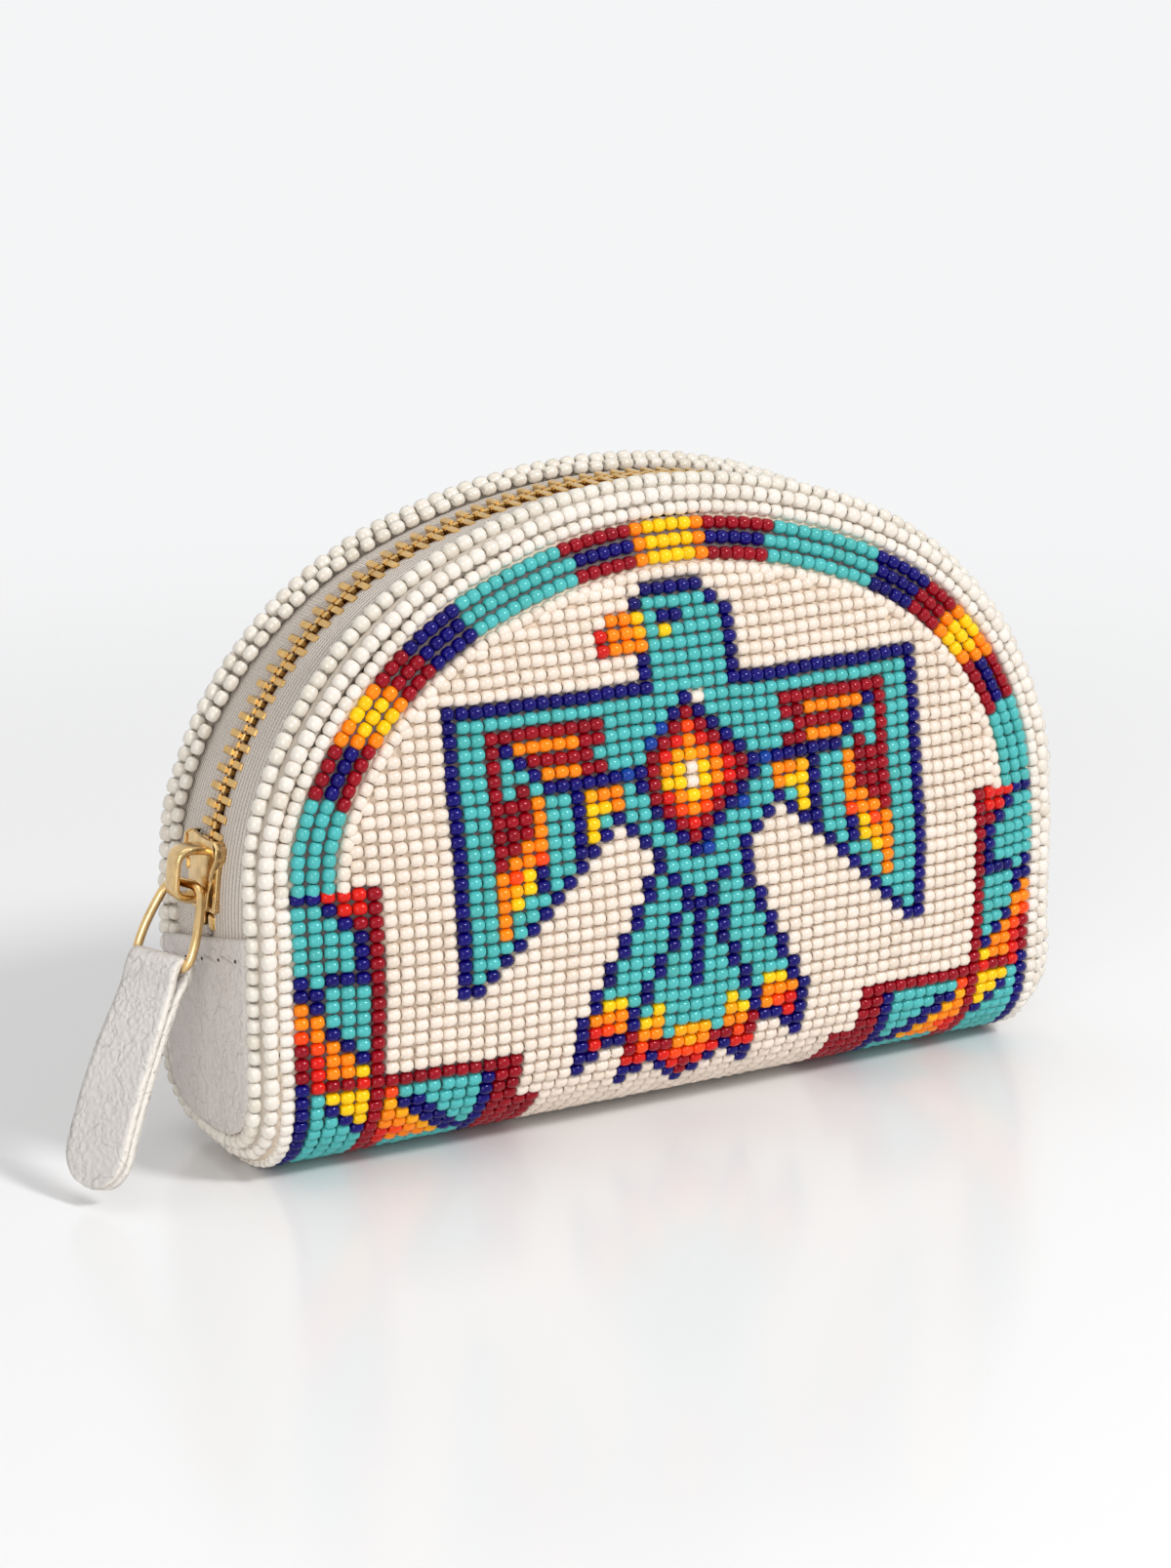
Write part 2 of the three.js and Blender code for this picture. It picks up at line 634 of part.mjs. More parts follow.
// Slider, drawn lying along Z with its crown towards -X
const channel = CHAIN_HALF_HEIGHT + CHANNEL_CLEARANCE;
const plateShape = new THREE.Shape([
  new THREE.Vector2(-SLIDER_LENGTH / 2, -SLIDER_WIDTH * 0.36),
  new THREE.Vector2(SLIDER_LENGTH * 0.2, -SLIDER_WIDTH / 2),
  new THREE.Vector2(SLIDER_LENGTH / 2, -SLIDER_WIDTH / 2),
  new THREE.Vector2(SLIDER_LENGTH / 2, SLIDER_WIDTH / 2),
  new THREE.Vector2(SLIDER_LENGTH * 0.2, SLIDER_WIDTH / 2),
  new THREE.Vector2(-SLIDER_LENGTH / 2, SLIDER_WIDTH * 0.36),
]);
const box = (x0, x1, y0, y1, z0, z1) => {
  const geometry = new THREE.BoxGeometry(x1 - x0, y1 - y0, z1 - z0);
  return geometry.translate((x0 + x1) / 2, (y0 + y1) / 2, (z0 + z1) / 2);
};
const plate = (from) => {
  const options = { depth: SLIDER_PLATE, bevelEnabled: false };
  const geometry = new THREE.ExtrudeGeometry(plateShape, options);
  return geometry.rotateY(Math.PI / 2).translate(from, 0, 0);
};
const CROWN_ROOT = SLIDER_PLATE / 2;
const crownInner = -channel - SLIDER_PLATE;
const crownHoleTop = crownInner - CROWN_HOLE_HEIGHT;
const crownShape = new THREE.Shape();
const crownTopLength = CROWN_HOLE_LENGTH - CROWN_CHAMFER;
crownShape.moveTo(crownInner + CROWN_ROOT, -CROWN_LENGTH / 2);
crownShape.lineTo(crownInner + CROWN_ROOT, CROWN_LENGTH / 2);
crownShape.lineTo(crownHoleTop + CROWN_CHAMFER, CROWN_LENGTH / 2);
crownShape.lineTo(crownHoleTop - CROWN_WALL, crownTopLength / 2 + CROWN_CHAMFER);
crownShape.lineTo(crownHoleTop - CROWN_WALL, -crownTopLength / 2 - CROWN_CHAMFER);
crownShape.lineTo(crownHoleTop + CROWN_CHAMFER, -CROWN_LENGTH / 2);
crownShape.holes.push(new THREE.Path([
  new THREE.Vector2(crownInner, -CROWN_HOLE_LENGTH / 2),
  new THREE.Vector2(crownHoleTop, -CROWN_HOLE_LENGTH / 2),
  new THREE.Vector2(crownHoleTop, CROWN_HOLE_LENGTH / 2),
  new THREE.Vector2(crownInner, CROWN_HOLE_LENGTH / 2),
]));
const crown = new THREE.ExtrudeGeometry(crownShape, { depth: CROWN_WIDTH, bevelEnabled: false });
crown.rotateX(Math.PI / 2).translate(0, CROWN_WIDTH / 2, 0);
const flangeInner = CHAIN_HALF_WIDTH + CHANNEL_CLEARANCE;
const sliderPieces = [plate(-channel - SLIDER_PLATE), plate(channel), crown];
const postFoot = -SLIDER_LENGTH / 2;
const reach = channel + SLIDER_PLATE / 2;
const postHalf = SLIDER_POST / 2;
sliderPieces.push(box(-reach, reach, -postHalf, postHalf, postFoot, postFoot + POST_LENGTH));
for (const side of [-1, 1]) {
  for (const face of [-1, 1]) {
    const low = face * (TAPE_THICKNESS / 2 + CHANNEL_CLEARANCE);
    const [x0, x1] = [Math.min(low, face * reach), Math.max(low, face * reach)];
    const edges = [side * flangeInner, side * SLIDER_WIDTH / 2];
    const [y0, y1] = [Math.min(...edges), Math.max(...edges)];
    sliderPieces.push(box(x0, x1, y0, y1, -SLIDER_LENGTH / 2, -SLIDER_LENGTH / 2 + FLANGE_LENGTH));
  }
}
const pathRadius = CORNER_RADIUS + CHAIN_OFFSET;
const sliderAngle = Math.asin((SLIDER_HEIGHT - SPRING_HEIGHT) / pathRadius);
const sliderSeat = new THREE.Group();
sliderSeat.position.set(-cornerX, 0, SPRING_HEIGHT);
sliderSeat.rotation.y = sliderAngle;
purse.add(sliderSeat);
addPart('slider', unite(sliderPieces), 'gold', sliderSeat).position.x = -pathRadius;

// Ring and tab hang from the crown, turned a little and leaning out
const hang = new THREE.Group();
const barOut = -pathRadius + crownInner - CROWN_HOLE_HEIGHT * BAR_SHARE;
const barPoint = new THREE.Vector3(barOut, 0, BAR_SEAT - CROWN_HOLE_LENGTH / 2);
barPoint.applyAxisAngle(new THREE.Vector3(0, 1, 0), sliderAngle).add(sliderSeat.position);
hang.position.copy(barPoint);
hang.rotation.set(0, HANG_LEAN, HANG_TURN, 'ZYX');
purse.add(hang);

const ringCorners = [
  [0, -RING_TOP_WIDTH / 2], [0, RING_TOP_WIDTH / 2],
  [-RING_LENGTH, RING_FOOT_WIDTH / 2], [-RING_LENGTH, -RING_FOOT_WIDTH / 2],
].map(([z, y]) => new THREE.Vector3(0, y, z));
const ringPath = new THREE.CurvePath();
ringCorners.forEach((point, i) => {
  const before = ringCorners[(i + 3) % 4];
  const after = ringCorners[(i + 1) % 4];
  const start = point.clone().add(before.clone().sub(point).setLength(RING_BEND));
  const end = point.clone().add(after.clone().sub(point).setLength(RING_BEND));
  const next = after.clone().add(point.clone().sub(after).setLength(RING_BEND));
  ringPath.add(new THREE.QuadraticBezierCurve3(start, point, end));
  ringPath.add(new THREE.LineCurve3(end, next));
});
const ringRings = ringPath.curves.flatMap((curve, i) => {
  const stations = i % 2 ? 0 : BEND_STEPS + 1;
  return Array.from({ length: stations }, (_, j) => {
    const centre = curve.getPoint(j / BEND_STEPS);
    const tangent = curve.getTangent(j / BEND_STEPS);
    const across = new THREE.Vector3().crossVectors(tangent, new THREE.Vector3(1, 0, 0));
    return Array.from({ length: WIRE_SIDES }, (_, k) => {
      const turn = k / WIRE_SIDES * 2 * Math.PI;
      const at = centre.clone().addScaledVector(across, WIRE_RADIUS * Math.cos(turn));
      return at.add(new THREE.Vector3(WIRE_RADIUS * Math.sin(turn), 0, 0));
    });
  });
});
addPart('pull_ring', loft(ringRings, true), 'gold', hang);

// Pull tab: a leather strip folded round the foot of the ring, then a rounded paddle
const loopInner = WIRE_RADIUS + TAB_LOOP_CLEARANCE;
const loopOuter = loopInner + TAB_LOOP_WALL;
const loopShape = new THREE.Shape().absarc(0, 0, loopOuter, 0, 2 * Math.PI);
loopShape.holes.push(new THREE.Path().absarc(0, 0, loopInner, 0, 2 * Math.PI, true));
const loop = new THREE.ExtrudeGeometry(loopShape, {
  depth: TAB_NECK_WIDTH, bevelEnabled: false, curveSegments: LOOP_SEGMENTS,
});
loop.rotateX(Math.PI / 2).translate(0, TAB_NECK_WIDTH / 2, 0);
const paddleShape = new THREE.Shape();
const paddleTop = -(loopInner + loopOuter) / 2;
const shoulder = paddleTop - TAB_NECK_LENGTH;
const shoulderHalf = TAB_WIDTH / 2 - TAB_FLARE;
const paddleEnd = -TAB_LENGTH + TAB_WIDTH / 2;
paddleShape.moveTo(-TAB_NECK_WIDTH / 2, paddleTop);
paddleShape.lineTo(TAB_NECK_WIDTH / 2, paddleTop);
paddleShape.lineTo(shoulderHalf, shoulder);
paddleShape.lineTo(TAB_WIDTH / 2, paddleEnd);
paddleShape.absarc(0, paddleEnd, TAB_WIDTH / 2, 0, -Math.PI, true);
paddleShape.lineTo(-shoulderHalf, shoulder);
const paddle = new THREE.ExtrudeGeometry(paddleShape, {
  depth: TAB_THICKNESS, bevelEnabled: false, curveSegments: LOOP_SEGMENTS,
});
paddle.translate(0, 0, -TAB_THICKNESS / 2).rotateX(Math.PI / 2).rotateZ(Math.PI / 2);
addPart('pull_tab', unite([loop, paddle]), 'leather', hang).position.z = -RING_LENGTH;

export default purse;
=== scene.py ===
"""Beaded coin purse: beads, zip, leather and studio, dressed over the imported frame."""

import itertools
import logging
import math
import random
from dataclasses import dataclass, field
from enum import Enum
from functools import partial
from typing import Callable, Iterable, Optional

import bmesh
import bpy
from mathutils import Matrix, Vector


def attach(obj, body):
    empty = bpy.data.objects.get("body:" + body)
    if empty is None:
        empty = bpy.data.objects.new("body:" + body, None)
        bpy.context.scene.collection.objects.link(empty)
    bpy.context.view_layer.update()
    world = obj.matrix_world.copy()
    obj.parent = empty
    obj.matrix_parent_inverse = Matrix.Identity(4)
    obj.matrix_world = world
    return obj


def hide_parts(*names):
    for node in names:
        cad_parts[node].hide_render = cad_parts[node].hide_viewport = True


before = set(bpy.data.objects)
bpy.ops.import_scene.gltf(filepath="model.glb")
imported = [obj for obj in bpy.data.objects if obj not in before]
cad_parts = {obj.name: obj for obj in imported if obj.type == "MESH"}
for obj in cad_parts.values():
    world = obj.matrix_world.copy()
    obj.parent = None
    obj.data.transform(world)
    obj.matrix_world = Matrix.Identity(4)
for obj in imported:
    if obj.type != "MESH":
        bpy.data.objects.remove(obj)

log = logging.getLogger("purse")
MM = 0.001
X_AXIS = Vector((1, 0, 0))
Y_AXIS = Vector((0, 1, 0))


# ---------------------------------------------------------------- shader maths


def linear(red: float, green: float, blue: float) -> tuple:
    """Turns a colour written as it looks on a screen into the shader's linear one.

    Args:
        red: Red, 0 to 1.
        green: Green, 0 to 1.
        blue: Blue, 0 to 1.

    Returns:
        Four linear numbers, the last of them 1.
    """
    parts = []
    for part in (red, green, blue):
        low = part / 12.92
        high = ((part + 0.055) / 1.055) ** 2.4
        parts.append(low if part <= 0.04045 else high)
    return (*parts, 1.0)


def light_and_dark(tint: tuple, deep: float) -> tuple:
    """Gives a screen colour, and the same colour times a factor, both as linear ones."""
    return linear(*tint), linear(*[part * deep for part in tint])


class Signal:
    """A number that travels through a material, with Python's own operators."""

    def __init__(self, maker: "NodeMaker", socket: bpy.types.NodeSocket) -> None:
        """Keeps the socket and the maker that adds further nodes."""
        self.maker = maker
        self.socket = socket

    def _math(self, operation: str, *others: object) -> "Signal":
        """Adds a Math node on this number and the others."""
        return self.maker.math(operation, self, *others)

    def __add__(self, other: object) -> "Signal":
        """Adds."""
        return self._math("ADD", other)

    __radd__ = __add__

    def __mul__(self, other: object) -> "Signal":
        """Multiplies."""
        return self._math("MULTIPLY", other)

    __rmul__ = __mul__

    def __sub__(self, other: object) -> "Signal":
        """Subtracts."""
        return self._math("SUBTRACT", other)

    def __rsub__(self, other: object) -> "Signal":
        """Subtracts this from the other."""
        return self.maker.math("SUBTRACT", other, self)

    def __truediv__(self, other: object) -> "Signal":
        """Divides."""
        return self._math("DIVIDE", other)

    def __gt__(self, other: object) -> "Signal":
        """Gives 1 where this is above the other."""
        return self._math("GREATER_THAN", other)

    def sin(self) -> "Signal":
        """Gives the sine of this number."""
        return self._math("SINE")

    def absolute(self) -> "Signal":
        """Gives the number without its sign."""
        return self._math("ABSOLUTE")

    def clamp(self) -> "Signal":
        """Keeps the number between 0 and 1."""
        return self.maker.node("ShaderNodeClamp", {}, {"Value": self})


class NodeMaker:
    """Builds one material from nodes."""

    def __init__(self, name: str) -> None:
        """Starts an empty material with a Principled shader.

        Args:
            name: The material's name.
        """
        self.material = bpy.data.materials.new(name)
        self.material.use_nodes = True
        self.tree = self.material.node_tree
        self.tree.nodes.clear()
        self.output = self.tree.nodes.new("ShaderNodeOutputMaterial")

    def _set(self, socket: bpy.types.NodeSocket, value: object) -> None:
        """Links a signal to a socket, or writes a plain value to it.

        Args:
            socket: The node's input.
            value: The signal or the value.
        """
        if isinstance(value, Signal):
            self.tree.links.new(value.socket, socket)
        else:
            socket.default_value = value

    def node(self, kind: str, settings: dict, values: dict, out: object = 0) -> Signal:
        """Adds any node.

        Args:
            kind: The node's type.
            settings: Attributes that are set first.
            values: Values or signals by the name or number of the input.
            out: The output that is given back.

        Returns:
            The signal at that output.
        """
        node = self.tree.nodes.new(kind)
        for key, value in settings.items():
            setattr(node, key, value)
        for key, value in values.items():
            self._set(node.inputs[key], value)
        return Signal(self, node.outputs[out])

    def math(self, operation: str, *values: object) -> Signal:
        """Adds a Math node of an operation on one or two values."""
        inputs = dict(enumerate(values))
        return self.node("ShaderNodeMath", {"operation": operation}, inputs)

    def mix(self, share: object, first: object, second: object) -> Signal:
        """Mixes two colours.

        Args:
            share: How much of the second, 0 to 1.
            first: The first colour.
            second: The second colour.

        Returns:
            The mixed colour.
        """
        settings = {"data_type": "RGBA"}
        return self.node("ShaderNodeMix", settings, {0: share, 6: first, 7: second}, 2)

    def noise(self, where: Signal, scale: float, detail: float = 2.0) -> Signal:
        """Adds a noise of a scale in waves per metre, from 0 to 1."""
        values = {"Vector": where, "Scale": scale, "Detail": detail}
        return self.node("ShaderNodeTexNoise", {}, values, "Fac")

    def place(self) -> Signal:
        """Gives the point on the object in its own coordinates."""
        return self.node("ShaderNodeTexCoord", {}, {}, "Object")

    def attribute(self, name: str) -> Signal:
        """Gives a number that is stored on the mesh."""
        return self.node("ShaderNodeAttribute", {"attribute_name": name}, {}, "Fac")

    def bump(self, height: Signal, distance: float) -> Signal:
        """Turns a height into a normal, with 1 standing out by a distance in millimetres."""
        values = {"Height": height, "Distance": distance * MM, "Strength": 1.0}
        return self.node("ShaderNodeBump", {}, values)

    def surface(self, values: dict) -> bpy.types.Material:
        """Adds the Principled shader with its values and ends the material.

        Args:
            values: Values or signals by socket name.

        Returns:
            The finished material.
        """
        shader = self.node("ShaderNodeBsdfPrincipled", {}, values)
        self.tree.links.new(shader.socket, self.output.inputs["Surface"])
        return self.material


# ---------------------------------------------------------------- finishes


class Bead(Enum):
    """The bead colours: screen colour, and how clear the glass is."""

    CREAM = ("cream", (0.935, 0.878, 0.825), 0.0)
    WHITE = ("white", (0.925, 0.895, 0.86), 0.0)
    PEARL = ("pearl", (0.905, 0.88, 0.84), 0.0)
    TURQUOISE = ("turquoise", (0.30, 0.71, 0.71), 0.0)
    NAVY = ("navy", (0.04, 0.01, 0.42), 0.4)
    BLUE = ("blue", (0.06, 0.24, 0.62), 0.3)
    DARK_RED = ("dark_red", (0.60, 0.01, 0.09), 0.35)
    RED = ("red", (0.86, 0.10, 0.06), 0.1)
    VERMILION = ("vermilion", (0.99, 0.27, 0.04), 0.0)
    ORANGE = ("orange", (1.0, 0.53, 0.03), 0.0)
    AMBER = ("amber", (1.0, 0.66, 0.02), 0.0)
    YELLOW = ("yellow", (1.0, 0.80, 0.03), 0.0)

    @property
    def label(self) -> str:
        """The colour's name in piece names."""
        return self.value[0]

    @property
    def tint(self) -> tuple:
        """The colour on a screen."""
        return self.value[1]

    @property
    def clear(self) -> float:
        """How clear the glass is."""
        return self.value[2]


@dataclass(frozen=True)
class GlassBeadFinish:
    """Glossy glass of one colour that differs a little from bead to bead."""

    colour: Bead
    spread: float = 0.07
    depth: float = 0.35
    rough: float = 0.17
    pearly_rough: float = 0.24

    def material(self) -> bpy.types.Material:
        """Makes the material.

        Returns:
            The bead material.
        """
        make = NodeMaker(f"glass_{self.colour.label}")
        shade = make.attribute("shade")
        grain = make.noise(make.place(), 900.0)
        red, green, blue = self.colour.tint
        deep = 1.0 - self.spread - self.depth * self.colour.clear
        dark = linear(red * deep, green * deep * 0.985, blue * deep * 0.955)
        share = (shade * 0.8 + grain * 0.35).clamp()
        values = {
            "Base Color": make.mix(share, linear(red, green, blue), dark),
            "Coat Roughness": 0.18,
            "IOR": 1.5,
        }
        if self.colour in (Bead.CREAM, Bead.WHITE, Bead.PEARL):
            values["Roughness"] = grain * 0.06 + self.pearly_rough
            values["Coat Weight"] = 0.5
            values["Subsurface Weight"] = 0.5 if self.colour is Bead.PEARL else 0.2
            values["Subsurface Radius"] = (0.6, 0.5, 0.45)
            values["Subsurface Scale"] = 0.4 * MM
        else:
            values["Roughness"] = grain * 0.06 + self.rough
            values["Specular IOR Level"] = 0.62
            values["Specular Tint"] = linear(*[0.6 + 0.4 * part for part in self.colour.tint])
        return make.surface(values)


@dataclass(frozen=True)
class ThreadFinish:
    """Pale thread laid in rows over the felt, with painted shade between coloured beads."""

    tint: tuple = (0.97, 0.89, 0.80)
    # The colour of the painted shade that darkens the thread between coloured beads.
    gap_shade: tuple = (0.22, 0.17, 0.24)

    def material(self) -> bpy.types.Material:
        """Makes the material.

        Returns:
            The thread material.
        """
        make = NodeMaker("bead_thread")
        place = make.place()
        soft = make.noise(place, 500.0, 4.0)
        fine = make.noise(place, 3500.0, 3.0)
        pale = make.mix((soft * 0.7 + fine * 0.4).clamp(), *light_and_dark(self.tint, 0.78))
        # Painted shade: the thread darkens between coloured beads by the share stored on the
        # felt's points.
        tint = make.mix(make.attribute("gap_shade"), pale, linear(*self.gap_shade))
        normal = make.bump(fine, 0.12)
        return make.surface({"Base Color": tint, "Roughness": 0.85, "Normal": normal})


@dataclass(frozen=True)
class WovenFinish:
    """Woven cloth with ribs along it and a fine diagonal twill, and painted shade in its
    hollows.
    """

    name: str
    tint: tuple
    rib: float = 0.75
    pick: float = 0.42
    depth: float = 0.4

    def material(self) -> bpy.types.Material:
        """Makes the material, which follows the piece's own map in metres.

        Returns:
            The woven material.
        """
        make = NodeMaker(self.name)
        flat = {"Vector": make.node("ShaderNodeUVMap", {"uv_map": "weave"}, {})}
        along = make.node("ShaderNodeSeparateXYZ", {}, flat, 0) * (1 / MM)
        across = make.node("ShaderNodeSeparateXYZ", {}, flat, 1) * (1 / MM)
        turn = 2 * math.pi
        wander = make.noise(make.place(), 240.0)
        ribs = (across * (turn / self.rib) + wander * 2.2).sin() * 0.5 + 0.5
        twill = ((along / self.pick + across / self.rib) * turn).sin() * 0.5 + 0.5
        picks = (along * (turn / self.pick)).sin() * 0.5 + 0.5
        fibre = make.noise(make.place(), 6000.0, 3.0)
        height = ribs * 0.62 + twill * 0.25 + picks * 0.12 + fibre * 0.2
        # The colour is darker where the weave lies low: painted shade in its hollows, with the
        # fibre noise adding random tone.
        values = {
            "Base Color": make.mix((1.0 - height).clamp(), *light_and_dark(self.tint, 0.80)),
            "Roughness": 0.88,
            "Normal": make.bump(height, self.depth),
            "Sheen Weight": 0.15,
        }
        return make.surface(values)


@dataclass(frozen=True)
class CastMetalFinish:
    """Brass or gold-coloured metal with small dents, darker where grime stays."""

    name: str
    tint: tuple
    rough: float
    dent: float = 0.02

    def material(self) -> bpy.types.Material:
        """Makes the material.

        Returns:
            The metal material.
        """
        make = NodeMaker(self.name)
        place = make.place()
        cloud = make.noise(place, 700.0, 3.0)
        fine = make.noise(place, 4200.0)
        grime = (cloud * 1.4 - 0.35).clamp()
        values = {
            "Base Color": make.mix(grime, *light_and_dark(self.tint, 0.72)),
            "Metallic": 1.0,
            "Roughness": fine * 0.14 + self.rough,
            "Normal": make.bump(cloud * 0.7 + fine * 0.3, self.dent),
        }
        return make.surface(values)


@dataclass(frozen=True)
class LeatherFinish:
    """Pale grained leather with lighter cut edges, a few dark specks and painted shade in the
    grain's hollows.
    """

    name: str
    tint: tuple
    rim: tuple = (0.89, 0.865, 0.83)
    speck: tuple = (0.42, 0.37, 0.33)
    pebble: float = 1700.0
    depth: float = 0.26

    def material(self) -> bpy.types.Material:
        """Makes the material.

        Returns:
            The leather material.
        """
        make = NodeMaker(self.name)
        place = make.place()
        scale = {"Vector": place, "Scale": self.pebble}
        settings = {"feature": "SMOOTH_F1"}
        pebbles = make.node("ShaderNodeTexVoronoi", settings, scale, "Distance")
        soft = make.noise(place, 120.0, 3.0)
        fold = (make.noise(place, 260.0, 4.0) - 0.5).absolute()
        crease = (1.0 - fold * 28.0).clamp()
        specks = make.noise(place, 2200.0, 1.0) > 0.70
        rim = make.attribute("rim") > 0.93
        # Darker in the grain's hollows between pebbles as painted shade, and in soft random
        # patches of tone.
        hollow_shade_and_tone = (pebbles * 0.6 + soft * 0.5 - 0.1).clamp()
        tint = make.mix(hollow_shade_and_tone, *light_and_dark(self.tint, 0.93))
        tint = make.mix(rim, tint, linear(*self.rim))
        tint = make.mix(specks * rim * 0.7, tint, linear(*self.speck))
        normal = make.bump(1.0 - pebbles * 0.8 - crease * 0.35, self.depth)
        rough = soft * 0.15 + 0.45
        return make.surface({"Base Color": tint, "Roughness": rough, "Normal": normal})


@dataclass(frozen=True)
class FloorFinish:
    """A glossy white table that fades into the background away from the purse."""

    tint: tuple = (0.958, 0.958, 0.960)
    near: float = 0.11
    far: float = 0.34

    def material(self) -> bpy.types.Material:
        """Makes the material.

        Returns:
            The floor material.
        """
        make = NodeMaker("table_white")
        place = make.place()
        faint = make.noise(place, 3.0, 1.0)
        away = make.node("ShaderNodeVectorMath", {"operation": "LENGTH"}, {0: place}, "Value")
        kept = ((self.far - away) / (self.far - self.near)).clamp()
        values = {
            "Base Color": make.mix(faint, *light_and_dark(self.tint, 0.99)),
            "Roughness": 0.20,
            "IOR": 1.40,
            "Alpha": kept * kept * (3.0 - kept * 2.0),
        }
        return make.surface(values)


# ---------------------------------------------------------------- mesh helpers


def as_mesh(name: str, mesh: bmesh.types.BMesh) -> bpy.types.Mesh:
    """Turns a bmesh into a mesh.

    Args:
        name: The mesh's name.
        mesh: The bmesh, which is freed.

    Returns:
        The new mesh.
    """
    data = bpy.data.meshes.new(name)
    mesh.to_mesh(data)
    mesh.free()
    return data


def finish_mesh(
    name: str,
    mesh: bmesh.types.BMesh,
    material: bpy.types.Material,
    smooth: bool = True,
) -> bpy.types.Object:
    """Turns a bmesh into an object at the origin.

    Args:
        name: The piece's name.
        mesh: The bmesh, which is freed.
        material: Its material.
        smooth: True for soft shading.

    Returns:
        The new object.
    """
    data = as_mesh(name, mesh)
    data.shade_smooth() if smooth else data.shade_flat()
    data.materials.append(material)
    piece = bpy.data.objects.new(name, data)
    bpy.context.scene.collection.objects.link(piece)
    return piece


def mapped_sheet(
    counts: tuple,
    place: Callable[[float, float], Vector],
    closed: tuple = (False, False),
    weave: Optional[tuple] = None,
) -> bmesh.types.BMesh:
    """Lays a square grid over a form, as cloth is laid over a last.

    Args:
        counts: Faces along and across.
        place: Gives the point, in millimetres, for shares 0 to 1 along and across.
        closed: True for each direction that comes round to its own start.
        weave: Length and width in millimetres for the weave's own map.

    Returns:
        The bmesh in metres.
    """
    along, across = counts
    mesh = bmesh.new()
    layer = mesh.loops.layers.uv.new("weave") if weave else None
    bmesh.ops.create_grid(mesh, x_segments=along, y_segments=across, size=1.0)
    if layer:
        for face in mesh.faces:
            for loop in face.loops:
                share = [(part + 1) / 2 for part in loop.vert.co.xy]
                loop[layer].uv = [s * w * MM for s, w in zip(share, weave)]
    for vert in mesh.verts:
        u, v = (vert.co.x + 1) / 2, (vert.co.y + 1) / 2
        vert.co = place(u, v) * MM
    if any(closed):
        bmesh.ops.remove_doubles(mesh, verts=mesh.verts, dist=0.002 * MM)
    bmesh.ops.recalc_face_normals(mesh, faces=mesh.faces)
    return mesh


def axes(x: Vector, y: Vector, z: Vector) -> Matrix:
    """Gives the turn that lays a shape's own axes along three directions."""
    return Matrix((x, y, z)).transposed().to_4x4()


def stamp(mesh: bmesh.types.BMesh, shape: bpy.types.Mesh, matrix: Matrix) -> None:
    """Adds a copy of a shape to a bmesh.

    Args:
        mesh: The bmesh.
        shape: The shape, which comes back to its own place.
        matrix: The copy's place in metres.
    """
    shape.transform(matrix)
    mesh.from_mesh(shape)
    shape.transform(matrix.inverted())


def add_box(mesh: bmesh.types.BMesh, centre: tuple, size: tuple) -> None:
    """Adds a box to a bmesh.

    Args:
        mesh: The bmesh.
        centre: The box's centre in millimetres.
        size: Its size in millimetres.
    """
    verts = bmesh.ops.create_cube(mesh, size=1.0)["verts"]
    bmesh.ops.scale(mesh, verts=verts, vec=Vector(size) * MM)
    bmesh.ops.translate(mesh, verts=verts, vec=Vector(centre) * MM)


def soften(mesh: bmesh.types.BMesh, radius: float, segments: int) -> None:
    """Rounds all edges of a bmesh.

    Args:
        mesh: The bmesh.
        radius: The radius in millimetres.
        segments: The segments of each rounded edge.
    """
    bmesh.ops.bevel(
        mesh, geom=mesh.edges[:], offset=radius * MM, segments=segments,
        profile=0.5, affect="EDGES", material=-1, clamp_overlap=True,
    )


def thicken(mesh: bmesh.types.BMesh, thickness: float) -> None:
    """Gives a sheet its wall, in millimetres, on the side away from its faces."""
    bmesh.ops.solidify(mesh, geom=mesh.faces[:], thickness=thickness * MM)
    bmesh.ops.recalc_face_normals(mesh, faces=mesh.faces)


def plate(
    points: Iterable, middle: float, thickness: float, radius: float, segments: int
) -> bmesh.types.BMesh:
    """Cuts a plate from an outline in the YZ plane and rounds its edges.

    Args:
        points: The outline, as (y, z) in millimetres.
        middle: Where the middle of its thickness is along X.
        thickness: How thick it is along X.
        radius: The radius of its edges.
        segments: The segments of each rounded edge.

    Returns:
        The bmesh in metres.
    """
    mesh = bmesh.new()
    corners = [mesh.verts.new(Vector((-thickness / 2, y, z)) * MM) for y, z in points]
    mesh.faces.new(corners)
    made = bmesh.ops.extrude_face_region(mesh, geom=mesh.faces[:])
    moved = [item for item in made["geom"] if isinstance(item, bmesh.types.BMVert)]
    bmesh.ops.translate(mesh, verts=moved, vec=X_AXIS * thickness * MM)
    bmesh.ops.recalc_face_normals(mesh, faces=mesh.faces)
    soften(mesh, radius, segments)
    bmesh.ops.translate(mesh, verts=mesh.verts, vec=X_AXIS * middle * MM)
    return mesh


# ---------------------------------------------------------------- the form


